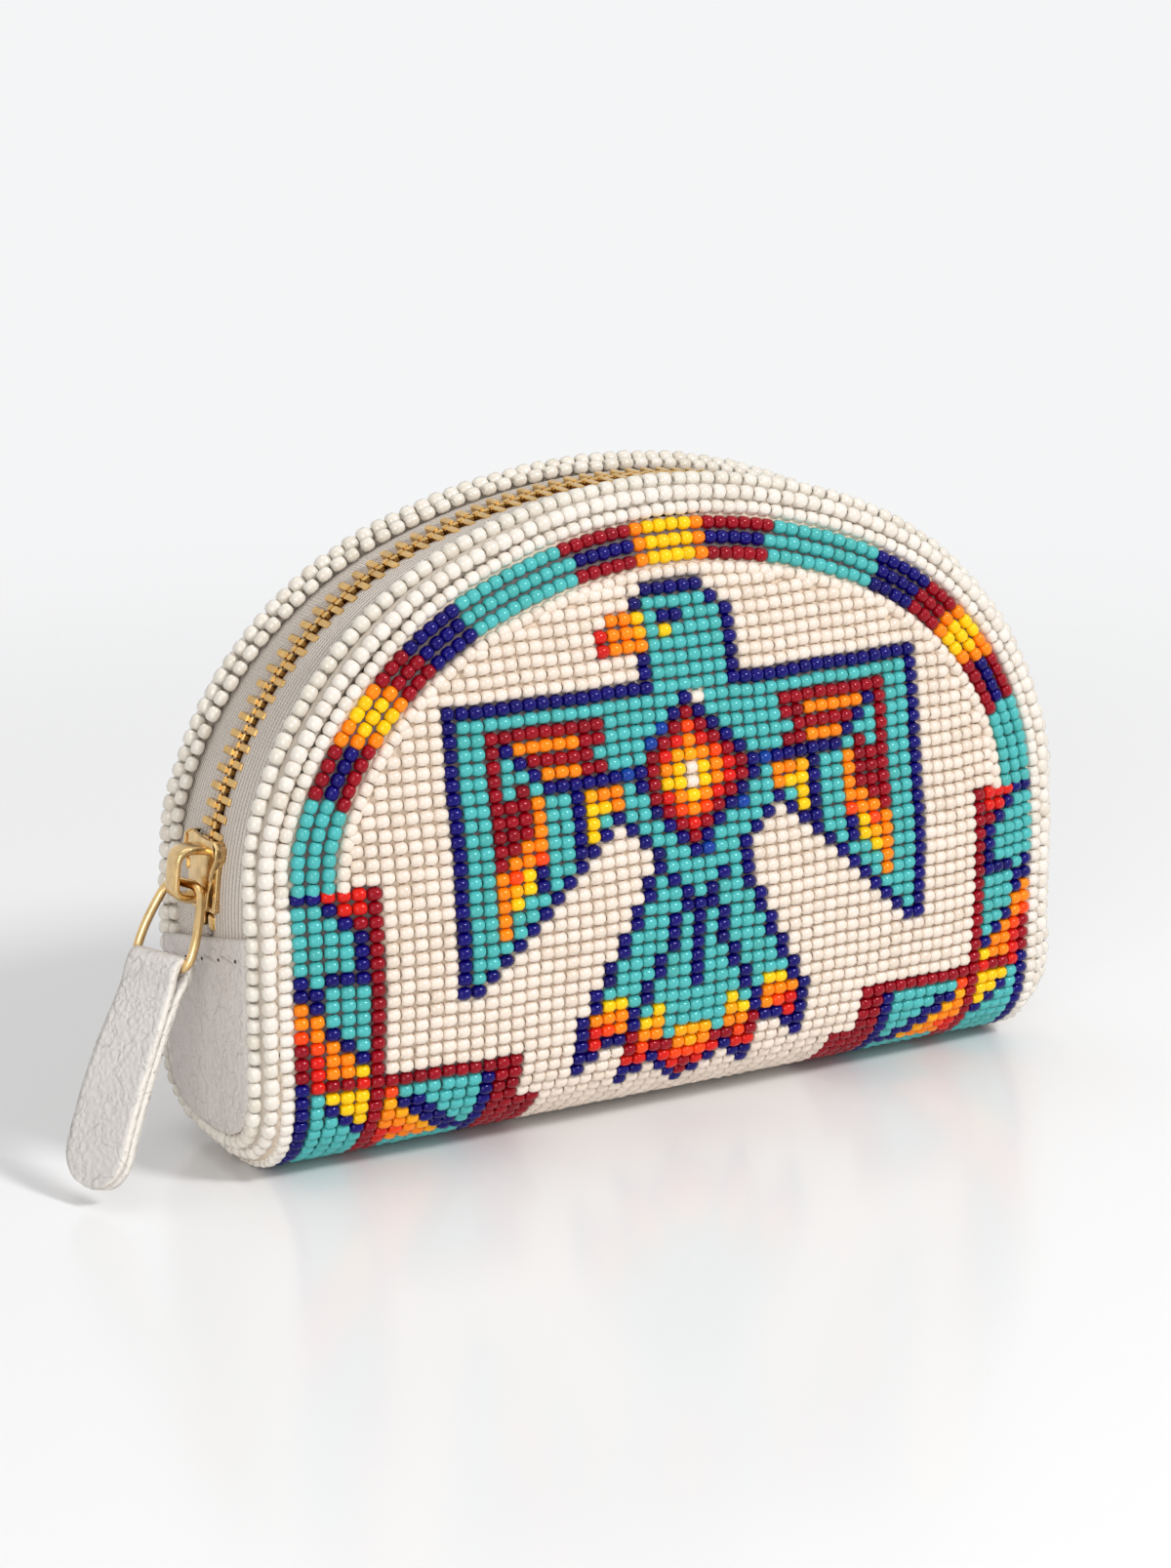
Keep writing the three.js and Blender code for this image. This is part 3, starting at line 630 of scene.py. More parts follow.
@dataclass(frozen=True)
class PouchForm:
    """The pouch's outline and depth, in millimetres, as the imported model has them."""

    half_width: float = 49.6
    corner_radius: float = 38.9
    top_arc: float = math.radians(22.9)
    spring: float = 28.5
    rim_half_depth: float = 13.3
    rim_taper: float = 0.1
    bulge: float = 4.9
    bulge_height: float = 35.7
    bulge_power: float = 2.8
    bulge_upright_power: float = 2.4
    fold_height: float = 12.4
    fold_power: float = 2.65
    row_pitch: float = 1.56
    column_pitch: float = 1.626
    columns: int = 60
    bead_radius: float = 0.8
    wing_row_height: float = 51.8
    band_foot: float = 33.9
    lean: float = 0.9
    lean_row: int = 6
    lean_rows: int = 18
    inset_top: float = 40.0
    inset_reach: float = 10.0
    inset_most: float = 0.82

    @property
    def corner_x(self) -> float:
        """Half the distance between the corner arcs' centres."""
        return self.half_width - self.corner_radius

    @property
    def radius_step(self) -> float:
        """How much larger the top arc's radius is."""
        return self.corner_x / math.sin(self.top_arc)

    @property
    def top_radius(self) -> float:
        """The top arc's radius."""
        return self.corner_radius + self.radius_step

    @property
    def top_centre(self) -> float:
        """The height of the top arc's centre."""
        return self.spring - self.radius_step * math.cos(self.top_arc)

    @property
    def arch_top(self) -> float:
        """The height of the arch."""
        return self.top_centre + self.top_radius

    def arch_length(self, offset: float) -> float:
        """Gives the length of a copy of the arch that is set out by an offset."""
        corner = (self.corner_radius + offset) * (math.pi / 2 - self.top_arc)
        return 2 * (corner + (self.top_radius + offset) * self.top_arc)

    def arch_point(self, offset: float, distance: float) -> tuple:
        """Gives a point on a copy of the arch.

        Args:
            offset: How far the copy is set out.
            distance: The way along it from the left spring.

        Returns:
            The point's x and z, and the outward direction's x and z.
        """
        sweep = math.pi / 2 - self.top_arc
        corner = (self.corner_radius + offset) * sweep
        whole = self.arch_length(offset)
        if distance > whole / 2:
            x, z, nx, nz = self.arch_point(offset, whole - distance)
            return -x, z, -nx, nz
        if distance < 0:
            return -self.half_width - offset, self.spring + distance, -1.0, 0.0
        if distance < corner:
            radius = self.corner_radius + offset
            angle = distance / radius
            centre = (-self.corner_x, self.spring)
        else:
            radius = self.top_radius + offset
            angle = sweep + (distance - corner) / radius
            centre = (0.0, self.top_centre)
        nx, nz = -math.cos(angle), math.sin(angle)
        return centre[0] + radius * nx, centre[1] + radius * nz, nx, nz

    def arch_half_width(self, z: float, offset: float = 0.0) -> float:
        """Gives half the arch's width at a height.

        Args:
            z: The height.
            offset: How far the arch is set out.

        Returns:
            Half the width.
        """
        if z <= self.spring:
            return self.half_width + offset
        radius = self.corner_radius + offset
        if z <= self.spring + radius * math.cos(self.top_arc):
            return self.corner_x + math.sqrt(radius**2 - (z - self.spring) ** 2)
        radius = self.top_radius + offset
        return math.sqrt(max(radius**2 - (z - self.top_centre) ** 2, 0.0))

    def rim_depth(self, z: float) -> float:
        """Gives the rim's distance from the middle plane at a height."""
        return self.rim_half_depth - self.rim_taper * max(z - self.spring, 0.0)

    def inset(self, z: float) -> float:
        """Gives how far the band and the roll move in from the arch.

        Args:
            z: The height.

        Returns:
            The inset, which grows smoothly from the corners down to the straight sides.
        """
        share = min(max((self.inset_top - z) / self.inset_reach, 0.0), 1.0)
        return self.inset_most * share * share * (3 - 2 * share)

    def half_depth(self, x: float, z: float) -> float:
        """Gives the distance from the middle plane to the bead layer.

        Args:
            x: Place across.
            z: Height.

        Returns:
            The distance.
        """
        across = max(1 - abs(x / self.half_width) ** self.bulge_power, 0.0)
        reach = self.arch_top - self.bulge_height
        share = abs((z - self.bulge_height) / reach)
        along = max(1 - share**self.bulge_upright_power, 0.0)
        straight = self.rim_depth(z) + self.bulge * across * along
        drop = (self.fold_height - z) / (self.fold_height - self.bead_radius)
        drop = min(max(drop, 0.0), 1.0)
        return straight * (1 - drop**self.fold_power) ** (1 / self.fold_power)

    def seat(self, x: float, z: float, side: int) -> tuple:
        """Gives a point of the bead layer and the direction out of it.

        Args:
            x: Place across.
            z: Height.
            side: -1 in front and 1 behind.

        Returns:
            The point and its unit normal.
        """
        step = 0.05
        depth = self.half_depth(x, z)
        slope_x = self.half_depth(x + step, z) - self.half_depth(x - step, z)
        low = max(z - step, self.bead_radius)
        slope_z = (self.half_depth(x, z + step) - self.half_depth(x, low)) / (z + step - low)
        normal = Vector((-slope_x / (2 * step), side, -slope_z)).normalized()
        return Vector((x, side * depth, z)), normal

    def drift(self, column: int, row: int) -> Vector:
        """Gives how far a bead of the field has wandered from its even place.

        Args:
            column: Its column.
            row: Its row.

        Returns:
            The way across and down, in millimetres.
        """
        middle = (self.columns - 1) / 2
        edge = min(abs(column - middle) / middle, 1.0)
        share = min(max((row - self.lean_row) / self.lean_rows, 0.0), 1.0)
        sway = self.lean * share + 0.09 * math.sin(row * 0.7 + column * 0.11)
        across = sway * (1 - edge**4)
        down = 0.10 * math.sin(column * 0.31 + row * 0.05) + 0.07 * math.sin(column * 0.83)
        return Vector((across, 0.0, down))

    def profile(self) -> list:
        """Measures the front's middle line down to the fold.

        Returns:
            Pairs of height and length from the top.
        """
        steps = 160
        wall, fold = self.arch_top - self.fold_height, self.fold_height - self.bead_radius
        heights = [self.arch_top - wall * i / steps for i in range(steps + 1)]
        for i in range(1, steps + 1):
            drop = math.sin(i / steps * math.pi / 2) ** (2 / self.fold_power)
            heights.append(self.fold_height - fold * drop)
        line = [(heights[0], 0.0)]
        for a, b in zip(heights, heights[1:]):
            step = math.hypot(a - b, self.half_depth(0, a) - self.half_depth(0, b))
            line.append((b, line[-1][1] + step))
        return line

    def height_at(self, line: list, length: float) -> float:
        """Gives the height of a point of the front's middle line.

        Args:
            line: The line from profile().
            length: The way down it from the top.

        Returns:
            The height.
        """
        i = next(k for k, (_, gone) in enumerate(line) if gone >= length - 1e-6)
        (z0, s0), (z1, s1) = line[max(i - 1, 0)], line[i]
        return z0 + (z1 - z0) * ((length - s0) / (s1 - s0) if s1 > s0 else 0.0)

    def rows(self) -> tuple:
        """Gives the height of every bead row, and the number of the first row.

        Returns:
            Heights from the top row to the last row before the fold's middle, and the
            first row's number, where 0 is the wings' top row.
        """
        line = self.profile()
        start = next(s for z, s in line if z <= self.wing_row_height)
        first = -int(start / self.row_pitch)
        last = int((line[-1][1] - start) / self.row_pitch)
        lengths = [start + row * self.row_pitch for row in range(first, last + 1)]
        return [self.height_at(line, length) for length in lengths], first


# ---------------------------------------------------------------- beads


@dataclass(frozen=True)
class BeadShape:
    """A seed bead with its hole along X: a short tube with rounded ends."""

    length: float
    radius: float
    hole: float = 0.3
    sides: int = 8

    def build(self) -> bpy.types.Mesh:
        """Spins the bead's outline into a mesh that is copied for every bead.

        Returns:
            The mesh, in metres.
        """
        half = self.length / 2
        cap = [(0.93, self.hole), (1.0, self.radius * 0.46), (0.86, self.radius * 0.74)]
        cap += [(0.42, self.radius * 0.98)]
        outline = [(half * x, r) for x, r in cap]
        outline += [(-half * x, r) for x, r in reversed(cap)]
        mesh = bmesh.new()
        verts = [mesh.verts.new(Vector((x, 0, r)) * MM) for x, r in outline]
        edges = [mesh.edges.new(pair) for pair in zip(verts, verts[1:] + verts[:1])]
        bmesh.ops.spin(
            mesh, geom=verts + edges, cent=(0, 0, 0), axis=(1, 0, 0), dvec=(0, 0, 0),
            angle=2 * math.pi, steps=self.sides, use_merge=True, use_duplicate=False,
        )
        bmesh.ops.remove_doubles(mesh, verts=mesh.verts, dist=0.001 * MM)
        bmesh.ops.recalc_face_normals(mesh, faces=mesh.faces)
        return as_mesh("bead_shape", mesh)


class BeadString:
    """Beads of one colour that become one piece."""

    def __init__(self, name: str, shape: bpy.types.Mesh, seed: int) -> None:
        """Starts an empty string.

        Args:
            name: The piece's name.
            shape: The mesh of one bead.
            seed: The seed of the beads' small differences.
        """
        self.name = name
        self.shape = shape
        self.rest = 1.08 * max(vert.co.z for vert in shape.vertices) / MM
        self.chance = random.Random(seed)
        self.mesh = bmesh.new()
        self.shades: list = []

    def add(self, place: Vector, axis: Vector, normal: Vector, size: tuple = (1, 1)) -> None:
        """Adds a bead.

        Args:
            place: Its centre in millimetres.
            axis: The direction of its hole.
            normal: The direction out of the beadwork.
            size: Its length and its width against the shape's own.
        """
        chance = self.chance
        along = (axis - normal * axis.dot(normal)).normalized()
        turn = axes(along, normal.cross(along), normal)
        tilt = Matrix.Rotation(math.radians(chance.gauss(0, 2.2)), 4, "Z")
        rock = Matrix.Rotation(math.radians(chance.gauss(0, 2.5)), 4, "Y")
        long = size[0] * (1 + chance.gauss(0, 0.025))
        wide = size[1] * (1 + chance.gauss(0, 0.02))
        grow = Matrix.Diagonal((long, wide, wide, 1))
        shift = Vector((chance.gauss(0, 0.03), chance.gauss(0, 0.03), chance.gauss(0, 0.02)))
        place.z = max(place.z, self.rest)
        move = Matrix.Translation((place + turn.to_3x3() @ shift) * MM)
        stamp(self.mesh, self.shape, move @ turn @ tilt @ rock @ grow)
        self.shades.append(min(abs(chance.gauss(0, 0.4)), 1.0))

    def finish(self, material: bpy.types.Material) -> bpy.types.Object:
        """Ends the string.

        Args:
            material: The beads' material.

        Returns:
            The piece, with each bead's shade stored on its points.
        """
        piece = finish_mesh(self.name, self.mesh, material)
        count = len(self.shape.vertices)
        shades = [shade for shade in self.shades for _ in range(count)]
        layer = piece.data.attributes.new("shade", "FLOAT", "POINT")
        layer.data.foreach_set("value", shades)
        return piece


class BeadBox:
    """Sorts beads into strings by region and colour, with shared materials."""

    longest: int = 1500

    def __init__(self) -> None:
        """Starts with no strings."""
        self.strings: dict = {}
        self.parts: dict = {}
        self.materials: dict = {}
        self.shapes: dict = {}

    def shape(self, name: str) -> bpy.types.Mesh:
        """Gives a bead mesh, made once.

        Args:
            name: "seed" or "edge".

        Returns:
            The mesh.
        """
        if name not in self.shapes:
            kinds = {
                "seed": BeadShape(length=1.61, radius=0.79),
                "edge": BeadShape(length=1.76, radius=0.95, hole=0.30, sides=9),
            }
            self.shapes[name] = kinds[name].build()
        return self.shapes[name]

    def string(self, region: str, colour: Bead, shape: str = "seed") -> BeadString:
        """Gives the string of a region and colour.

        Args:
            region: The start of the piece's name.
            colour: The beads' colour.
            shape: The bead shape's name.

        Returns:
            The string, started where it is new.
        """
        part = self.parts.setdefault((region, colour), 1)
        key = (region, colour, part)
        if key in self.strings and len(self.strings[key].shades) >= self.longest:
            part += 1
            self.parts[(region, colour)] = part
            key = (region, colour, part)
        if key not in self.strings:
            name = f"{region}_{colour.label}" + (f"_{part}" if part > 1 else "")
            seed = 11 + len(self.strings)
            self.strings[key] = BeadString(name, self.shape(shape), seed)
        return self.strings[key]

    def finish(self, nodes: dict) -> None:
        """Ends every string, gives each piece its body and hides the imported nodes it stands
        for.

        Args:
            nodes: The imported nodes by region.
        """
        for (region, colour, _), string in self.strings.items():
            if colour not in self.materials:
                self.materials[colour] = GlassBeadFinish(colour).material()
            piece = string.finish(self.materials[colour])
            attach(piece, "purse")
            if region in nodes:
                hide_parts(*nodes[region])
            log.info("%s: %d beads", piece.name, len(string.shades))


# ---------------------------------------------------------------- the figures


@dataclass
class BeadFigures:
    """The bird and the corner figures, painted in layers of blocks and stairs of beads."""

    mirror: int = 59
    tail_mirror: int = 58
    cells: dict = field(default_factory=dict)

    def paint(self, mirror: Optional[int], *layers: tuple) -> None:
        """Paints layers of beads, each over the ones before it.

        Args:
            mirror: The sum of a column and its mirror image, or None for no image.
            layers: Tuples of a colour and its blocks. A block is one bead's column and row,
                or the first column and row and the last. A stair of equal blocks adds their
                count, and the columns and rows from one to the next.
        """
        for colour, *blocks in layers:
            for block in blocks:
                left, top, right, foot, *stair = block if len(block) > 2 else block * 2
                count, across, down = stair or (1, 0, 0)
                for i, column, row in itertools.product(
                    range(count), range(left, right + 1), range(top, foot + 1)
                ):
                    column, row = column + i * across, row + i * down
                    self.cells[(column, row)] = colour
                    if mirror is not None:
                        self.cells[(mirror - column, row)] = colour

    def draw_wings(self) -> None:
        """Draws both wings: outline and ground first, then bars, feathers and points."""
        self.paint(
            self.mirror,
            (Bead.TURQUOISE, (12, 1, 28, 12), (27, 13, 30, 13)),
            (Bead.TURQUOISE, *[(12, row, 31 - row, row) for row in range(13, 20)]),
            (Bead.NAVY, (11, 0, 26, 0), (11, 1, 11, 20)),
        )
        self.draw_shoulders()
        self.paint(
            self.mirror,
            (Bead.NAVY, (23, 9, 23, 9, 12, -1, 1), (24, 10, 24, 10, 3, 1, 1), (26, 13)),
            (Bead.CREAM, *[(23 - i, 10 + i, min(23 + i, 25), 10 + i) for i in range(4)]),
            (Bead.NAVY, (20, 7, 20, 12), (17, 12, 17, 13)),
            (Bead.ORANGE, (14, 12, 14, 16)),
            (Bead.AMBER, (15, 13)),
            (Bead.YELLOW, (16, 12, 16, 13), (15, 14)),
            (Bead.VERMILION, (17, 11), (15, 12)),
        )

    def draw_shoulders(self) -> None:
        """Draws the coloured bars and the short feathers of both wings."""
        self.paint(
            self.mirror,
            (Bead.DARK_RED, (14, 2, 22, 5), (14, 6, 14, 11), (15, 7, 16, 9), (15, 10), (16, 6)),
            (Bead.TURQUOISE, (15, 4, 15, 6), (16, 5, 17, 5), (17, 6), (22, 4)),
            (Bead.NAVY, (15, 3, 15, 3, 3, 1, 1), (18, 6, 25, 6), (25, 7)),
            (Bead.ORANGE, (16, 3, 20, 3), (18, 5, 20, 5), (22, 7, 23, 8)),
            (Bead.ORANGE, (17, 7, 17, 10), (16, 10, 16, 11), (15, 11)),
            (Bead.YELLOW, (21, 7, 21, 10), (22, 8)),
            (Bead.AMBER, (21, 7)),
            (Bead.BLUE, (24, 6), (26, 9)),
        )

    def draw_diamond(self) -> None:
        """Draws the stepped diamond on the breast, one ring inside the other."""
        rings = (
            Bead.NAVY, Bead.DARK_RED, Bead.RED, Bead.ORANGE, Bead.YELLOW, Bead.CREAM,
        )
        centre, foot, left, right = 29, 12, 26, 33
        for ring, colour in enumerate(rings):
            for row in range(1 + ring, foot - ring + 1):
                reach = min(row - 1, foot - row) - ring
                strip = (max(centre - reach, left), row, min(centre + reach, right), row)
                self.paint(None, (colour, strip))
        self.paint(
            None,
            (Bead.DARK_RED, (26, 6, 26, 8)),
            (Bead.AMBER, (28, 5, 29, 5)),
            (Bead.YELLOW, (27, 7)),
            (Bead.VERMILION, (29, 3), (31, 5), (28, 9), (30, 9)),
            (Bead.BLUE, (26, 4), (27, 3), (30, 12)),
        )

    def draw_head(self) -> None:
        """Draws the neck, the head, the eye and the beak."""
        self.paint(
            None,
            (Bead.NAVY, (26, -5, 33, -1), (27, -7, 31, -7), (26, -6, 32, -6)),
            (Bead.TURQUOISE, (27, -6, 31, -6), (27, -5, 32, 0)),
            (Bead.NAVY, (28, -5, 29, -5)),
            (Bead.ORANGE, (24, -5, 26, -3)),
            (Bead.YELLOW, (28, -4), (26, -5)),
            (Bead.AMBER, (26, -4)),
            (Bead.RED, (23, -4, 23, -3)),
        )

    def draw_tail(self) -> None:
        """Draws the body and the tail about the spine's own column, then the points."""
        edge = [(max(25 - (row - 14) // 2, 20), row) for row in range(14, 28)]
        self.paint(
            self.tail_mirror,
            (Bead.TURQUOISE, *[(left, row, 29, row) for left, row in edge]),
            (Bead.NAVY, *edge, (20, 28), (29, 16, 29, 22), (28, 16), (27, 17, 27, 19)),
            (Bead.NAVY, (27, 14, 27, 14, 2, 1, 1), (26, 20, 26, 21, 3, -1, 2)),
            (Bead.YELLOW, (22, 23, 23, 23), (26, 24, 26, 24, 2, -1, 1)),
            (Bead.AMBER, (26, 25), (28, 26, 29, 27)),
            (Bead.ORANGE, (21, 24, 23, 25), (25, 26, 26, 26), (28, 27)),
            (Bead.VERMILION, (22, 25), (25, 27), (28, 28, 29, 28)),
            (Bead.RED, (21, 25, 21, 26), (24, 28, 25, 28), (27, 28), (28, 29)),
            (Bead.DARK_RED, (24, 26, 24, 27), (26, 27, 27, 27), (29, 29, 29, 30)),
            (Bead.NAVY, (22, 26, 23, 26), (21, 27), (26, 28), (24, 29, 25, 29), (24, 30)),
            (Bead.NAVY, (27, 29, 27, 29, 3, 1, 1)),
            (Bead.CREAM, (22, 27, 23, 28)),
        )

    def draw_corners(self) -> None:
        """Draws the upper halves of both corner figures."""
        self.paint(
            self.mirror,
            (Bead.DARK_RED, (0, 12, 5, 39)),
            (Bead.RED, (2, 12, 4, 13), (1, 24, 1, 26), (4, 26)),
            (Bead.TURQUOISE, (0, 13, 1, 13), (0, 14, 2, 14), (0, 15, 3, 17), (2, 19, 4, 23)),
            (Bead.NAVY, (0, 12), (1, 12, 1, 12, 4, 1, 1), (4, 15, 4, 18), (0, 18, 3, 18)),
            (Bead.NAVY, (0, 19, 1, 20), (2, 22, 2, 22, 3, 1, 1)),
            (Bead.TURQUOISE, (1, 18)),
            (Bead.ORANGE, (0, 20, 0, 21), (1, 21, 1, 22), (2, 23, 2, 25), (3, 24, 3, 25)),
            (Bead.VERMILION, (0, 22, 0, 22, 2, 1, 1)),
            (Bead.YELLOW, (4, 25)),
        )

    def draw_corner_feet(self) -> None:
        """Draws the lower half of both corner figures, which runs under the fold."""
        self.paint(
            self.mirror,
            (Bead.DARK_RED, (6, 26, 15, 39), (16, 30, 17, 39)),
            (Bead.TURQUOISE, (1, 27, 4, 39), (7, 27, 12, 39)),
            (Bead.NAVY, (0, 26, 0, 39), (13, 27, 13, 39)),
            (Bead.NAVY, (2, 28, 2, 28, 3, 1, 1), (7, 28, 8, 28, 5, 1, 1)),
            (Bead.YELLOW, (2, 27, 4, 27), (3, 28, 4, 28), (4, 29)),
            (Bead.ORANGE, *[(6, 28 + i, 6 + i, 28 + i) for i in range(5)]),
            (Bead.AMBER, (6, 28, 6, 28, 5, 1, 1)),
            (Bead.VERMILION, (6, 27), (7, 31)),
            (Bead.RED, (6, 31, 6, 32)),
        )

    def draw(self) -> dict:
        """Draws everything.

        Returns:
            The colour of each bead by column and row.
        """
        self.draw_wings()
        self.draw_diamond()
        self.draw_tail()
        self.draw_head()
        self.draw_corners()
        self.draw_corner_feet()
        return self.cells


# ---------------------------------------------------------------- sub-assemblies


@dataclass
class BeadedPanel:
    """The oval of beadwork that is folded into the front, bottom and back."""

    form: PouchForm
    box: BeadBox
    flat_depth: float = 4.5
    felt_wall: float = 1.15
    felt_depth: float = 0.15
    felt_edge: float = 1.0
    felt_top: float = -0.9
    lining_wall: float = 0.5
    lining_depth: float = 2.3
    lining_edge: float = -2.4
    lining_top: float = 3.0
    # The strength of the painted shade between coloured beads, and the distances from the arch
    # where it lies under the coloured band.
    stain: float = 0.85
    stained_band: tuple = (0.3, 4.6)
    corner_rise: float = 35.8
    corner_reach: float = 25.9
    field_inset: float = 6.1
    field_top: float = 5.9
    band_rows: tuple = (0.82, -0.81, -2.44, -4.07, -5.69)
    band_end: float = 5.0
    line: list = field(default_factory=list, init=False)
    cells: dict = field(default_factory=dict, init=False)
    band: tuple = (
        (Bead.ORANGE, 3), (Bead.DARK_RED, 6), (Bead.TURQUOISE, 10), (Bead.NAVY, 5),
        (Bead.DARK_RED, 3), (Bead.ORANGE, 5), (Bead.DARK_RED, 5), (Bead.TURQUOISE, 7),
    )

    def wrap(self, u: float, v: float, edge: float, out: float, top: float) -> Vector:
        """Gives a point of the panel.

        Args:
            u: Share from the front's top edge, under the fold, to the back's.
            v: Share across.
            edge: How far the side edge stands out from the arch.
            out: How far the point is set out from the bead layer.
            top: How far the top edge is below the arch.

        Returns:
            The point in millimetres.
        """
        side = -1 if u < 0.5 else 1
        length = top + (self.line[-1][1] - top) * (1 - abs(2 * u - 1))
        z = self.form.height_at(self.line, length)
        x = self.form.arch_half_width(z, edge) * (2 * v - 1)
        point, normal = self.form.seat(x, z, side)
        if self.form.half_depth(x, z) < self.flat_depth:
            normal = Vector((0, 0, -1))
            point.z = self.form.bead_radius
        return point + normal * out

    def gap_shade(self, point: Vector) -> float:
        """Gives how dark the painted shade on the felt is under a point's beads.

        Args:
            point: A point of the front, in millimetres.

        Returns:
            The painted shade's strength, or 0 where the beads are cream.
        """
        form = self.form
        reach, rise = abs(point.x), max(point.z - form.spring, 0.0)
        edge = form.arch_half_width(point.z, -form.inset(point.z)) - reach
        if rise > 0:
            far = max(reach - form.corner_x, 0.0)
            edge *= far / math.hypot(far, rise) if rise < self.corner_rise else 1.0
        if rise > 0 and reach < self.corner_reach:
            edge = form.top_radius - math.hypot(point.x, point.z - form.top_centre)
        nearest, farthest = self.stained_band
        if point.z > form.band_foot and nearest < edge < farthest:
            return self.stain
        length = next(gone for z, gone in self.line if z <= point.z + 1e-6)
        start = next(gone for z, gone in self.line if z <= form.wing_row_height)
        row = round((length - start) / form.row_pitch)
        column = point.x / form.column_pitch + (form.columns - 1) / 2
        column -= form.drift(round(column), row).x / form.column_pitch
        colour = self.cells.get((round(column), row), Bead.CREAM)
        return 0.0 if colour is Bead.CREAM else self.stain

    def build_backing(self) -> None:
        """Makes the felt that the beads are sewn to."""
        self.line = self.form.profile()
        self.cells = BeadFigures().draw()
        place = partial(
            self.wrap, edge=self.felt_edge, out=-self.felt_depth, top=self.felt_top
        )
        cloth = mapped_sheet((230, 120), place)
        # Stores the painted shade between coloured beads on the felt's front points.
        stain = cloth.verts.layers.float.new("gap_shade")
        for vert in cloth.verts:
            vert[stain] = self.gap_shade(vert.co / MM) if vert.co.y < 0 else 0.0
        thicken(cloth, self.felt_wall)
        backing = finish_mesh("panel_backing", cloth, ThreadFinish().material())
        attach(backing, "purse")
        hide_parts("beaded_panel")
        log.info("panel backing")

    def build_lining(self) -> None:
        """Makes the cloth lining inside the felt."""
        place = partial(
            self.wrap, edge=self.lining_edge, out=-self.lining_depth, top=self.lining_top
        )
        lining = mapped_sheet((60, 24), place, weave=(140.0, 96.0))
        thicken(lining, self.lining_wall)
        finish = WovenFinish("lining_cloth", (0.90, 0.87, 0.83), 0.5, 0.5)
        piece = finish_mesh("purse_lining", lining, finish.material())
        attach(piece, "purse")
        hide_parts("cloth_lining")
        log.info("purse lining")

    def build_field(self) -> None:
        """Sews the field in rows, with the figures in front and a white edge column."""
        form = self.form
        heights, first = form.rows()
        middle = (form.columns - 1) / 2
        for side in (-1, 1):
            region = "front_beads" if side < 0 else "back_beads"
            for row, z in enumerate(heights, first):
                if z > form.arch_top - self.field_top:
                    continue
                narrow = form.arch_half_width(z, -self.field_inset - form.inset(z))
                for column in range(-1, form.columns + 1):
                    outside = column in (-1, form.columns)
                    x = (column - middle) * form.column_pitch
                    if z > form.band_foot and (outside or abs(x) > narrow):
                        continue
                    cell = self.cells.get((column, row)) if side < 0 else None
                    colour = Bead.WHITE if outside else cell or Bead.CREAM
                    drift = form.drift(column, row)
                    place, normal = form.seat(x + drift.x, z + drift.z, side)
                    self.box.string(region, colour).add(place, X_AXIS, normal)

    def build_band(self) -> None:
        """Sews the white edge row, the coloured band and its inner row along the arch."""
        form = self.form
        for side in (-1, 1):
            for k, offset in enumerate(self.band_rows):
                whole = form.arch_length(offset)
                reach = whole / 2 - self.band_end
                beads = round(reach / form.row_pitch)
                pitch = reach / beads
                for hand in (-1, 1):
                    for i in range(beads):
                        distance = whole / 2 + hand * (i + 0.5) * pitch
                        self.band_bead(side, k, offset, distance, (i + 0.5) / beads)

    def band_bead(
        self, side: int, k: int, offset: float, distance: float, share: float
    ) -> None:
        """Sews one bead of an arched row.

        Args:
            side: -1 in front and 1 behind.
            k: The row's number from the outside.
            offset: The row's offset from the arch.
            distance: The way along the row.
            share: The way from the top of the arch to the row's end, 0 to 1.
        """
        x, z, nx, nz = self.form.arch_point(offset, distance)
        inset = self.form.inset(z)
        x, z = x - nx * inset, z - nz * inset
        plain = side > 0 or k == len(self.band_rows) - 1
        colour = Bead.CREAM if plain else self.band_colour(share, k)
        colour = Bead.WHITE if k == 0 else colour
        place, normal = self.form.seat(x, z, side)
        along = Vector((-nz, 0, nx))
        region = "band_beads" if side < 0 else "back_rim_beads"
        self.box.string(region, colour).add(place, along, normal, (0.97, 1.03))

    def band_colour(self, share: float, k: int) -> Bead:
        """Gives the band's colour.

        Args:
            share: The way from the top of the arch to the band's end, 0 to 1.
            k: The row's number from the outside.

        Returns:
            The bead colour.
        """
        bead = share * sum(count for _, count in self.band)
        for i, (colour, count) in enumerate(self.band):
            if bead < count:
                inner = bead < 1.7 if i == 0 else abs(bead - count / 2) < count / 4
                if colour is Bead.ORANGE and inner:
                    return Bead.YELLOW
                if k == 2 and colour is Bead.DARK_RED and i in (1, 6):
                    return Bead.NAVY
                return colour
            bead -= count
        return self.band[-1][0]

    def build(self) -> None:
        """Builds the panel's pieces."""
        self.build_backing()
        self.build_lining()
        self.build_field()
        self.build_band()


@dataclass(frozen=True)
class RollRow:
    """One row of the roll, in millimetres."""

    region: str
    colour: Bead
    out: float
    face: float
    pitch: float
    follow: float
    size: tuple = (1.0, 1.0)


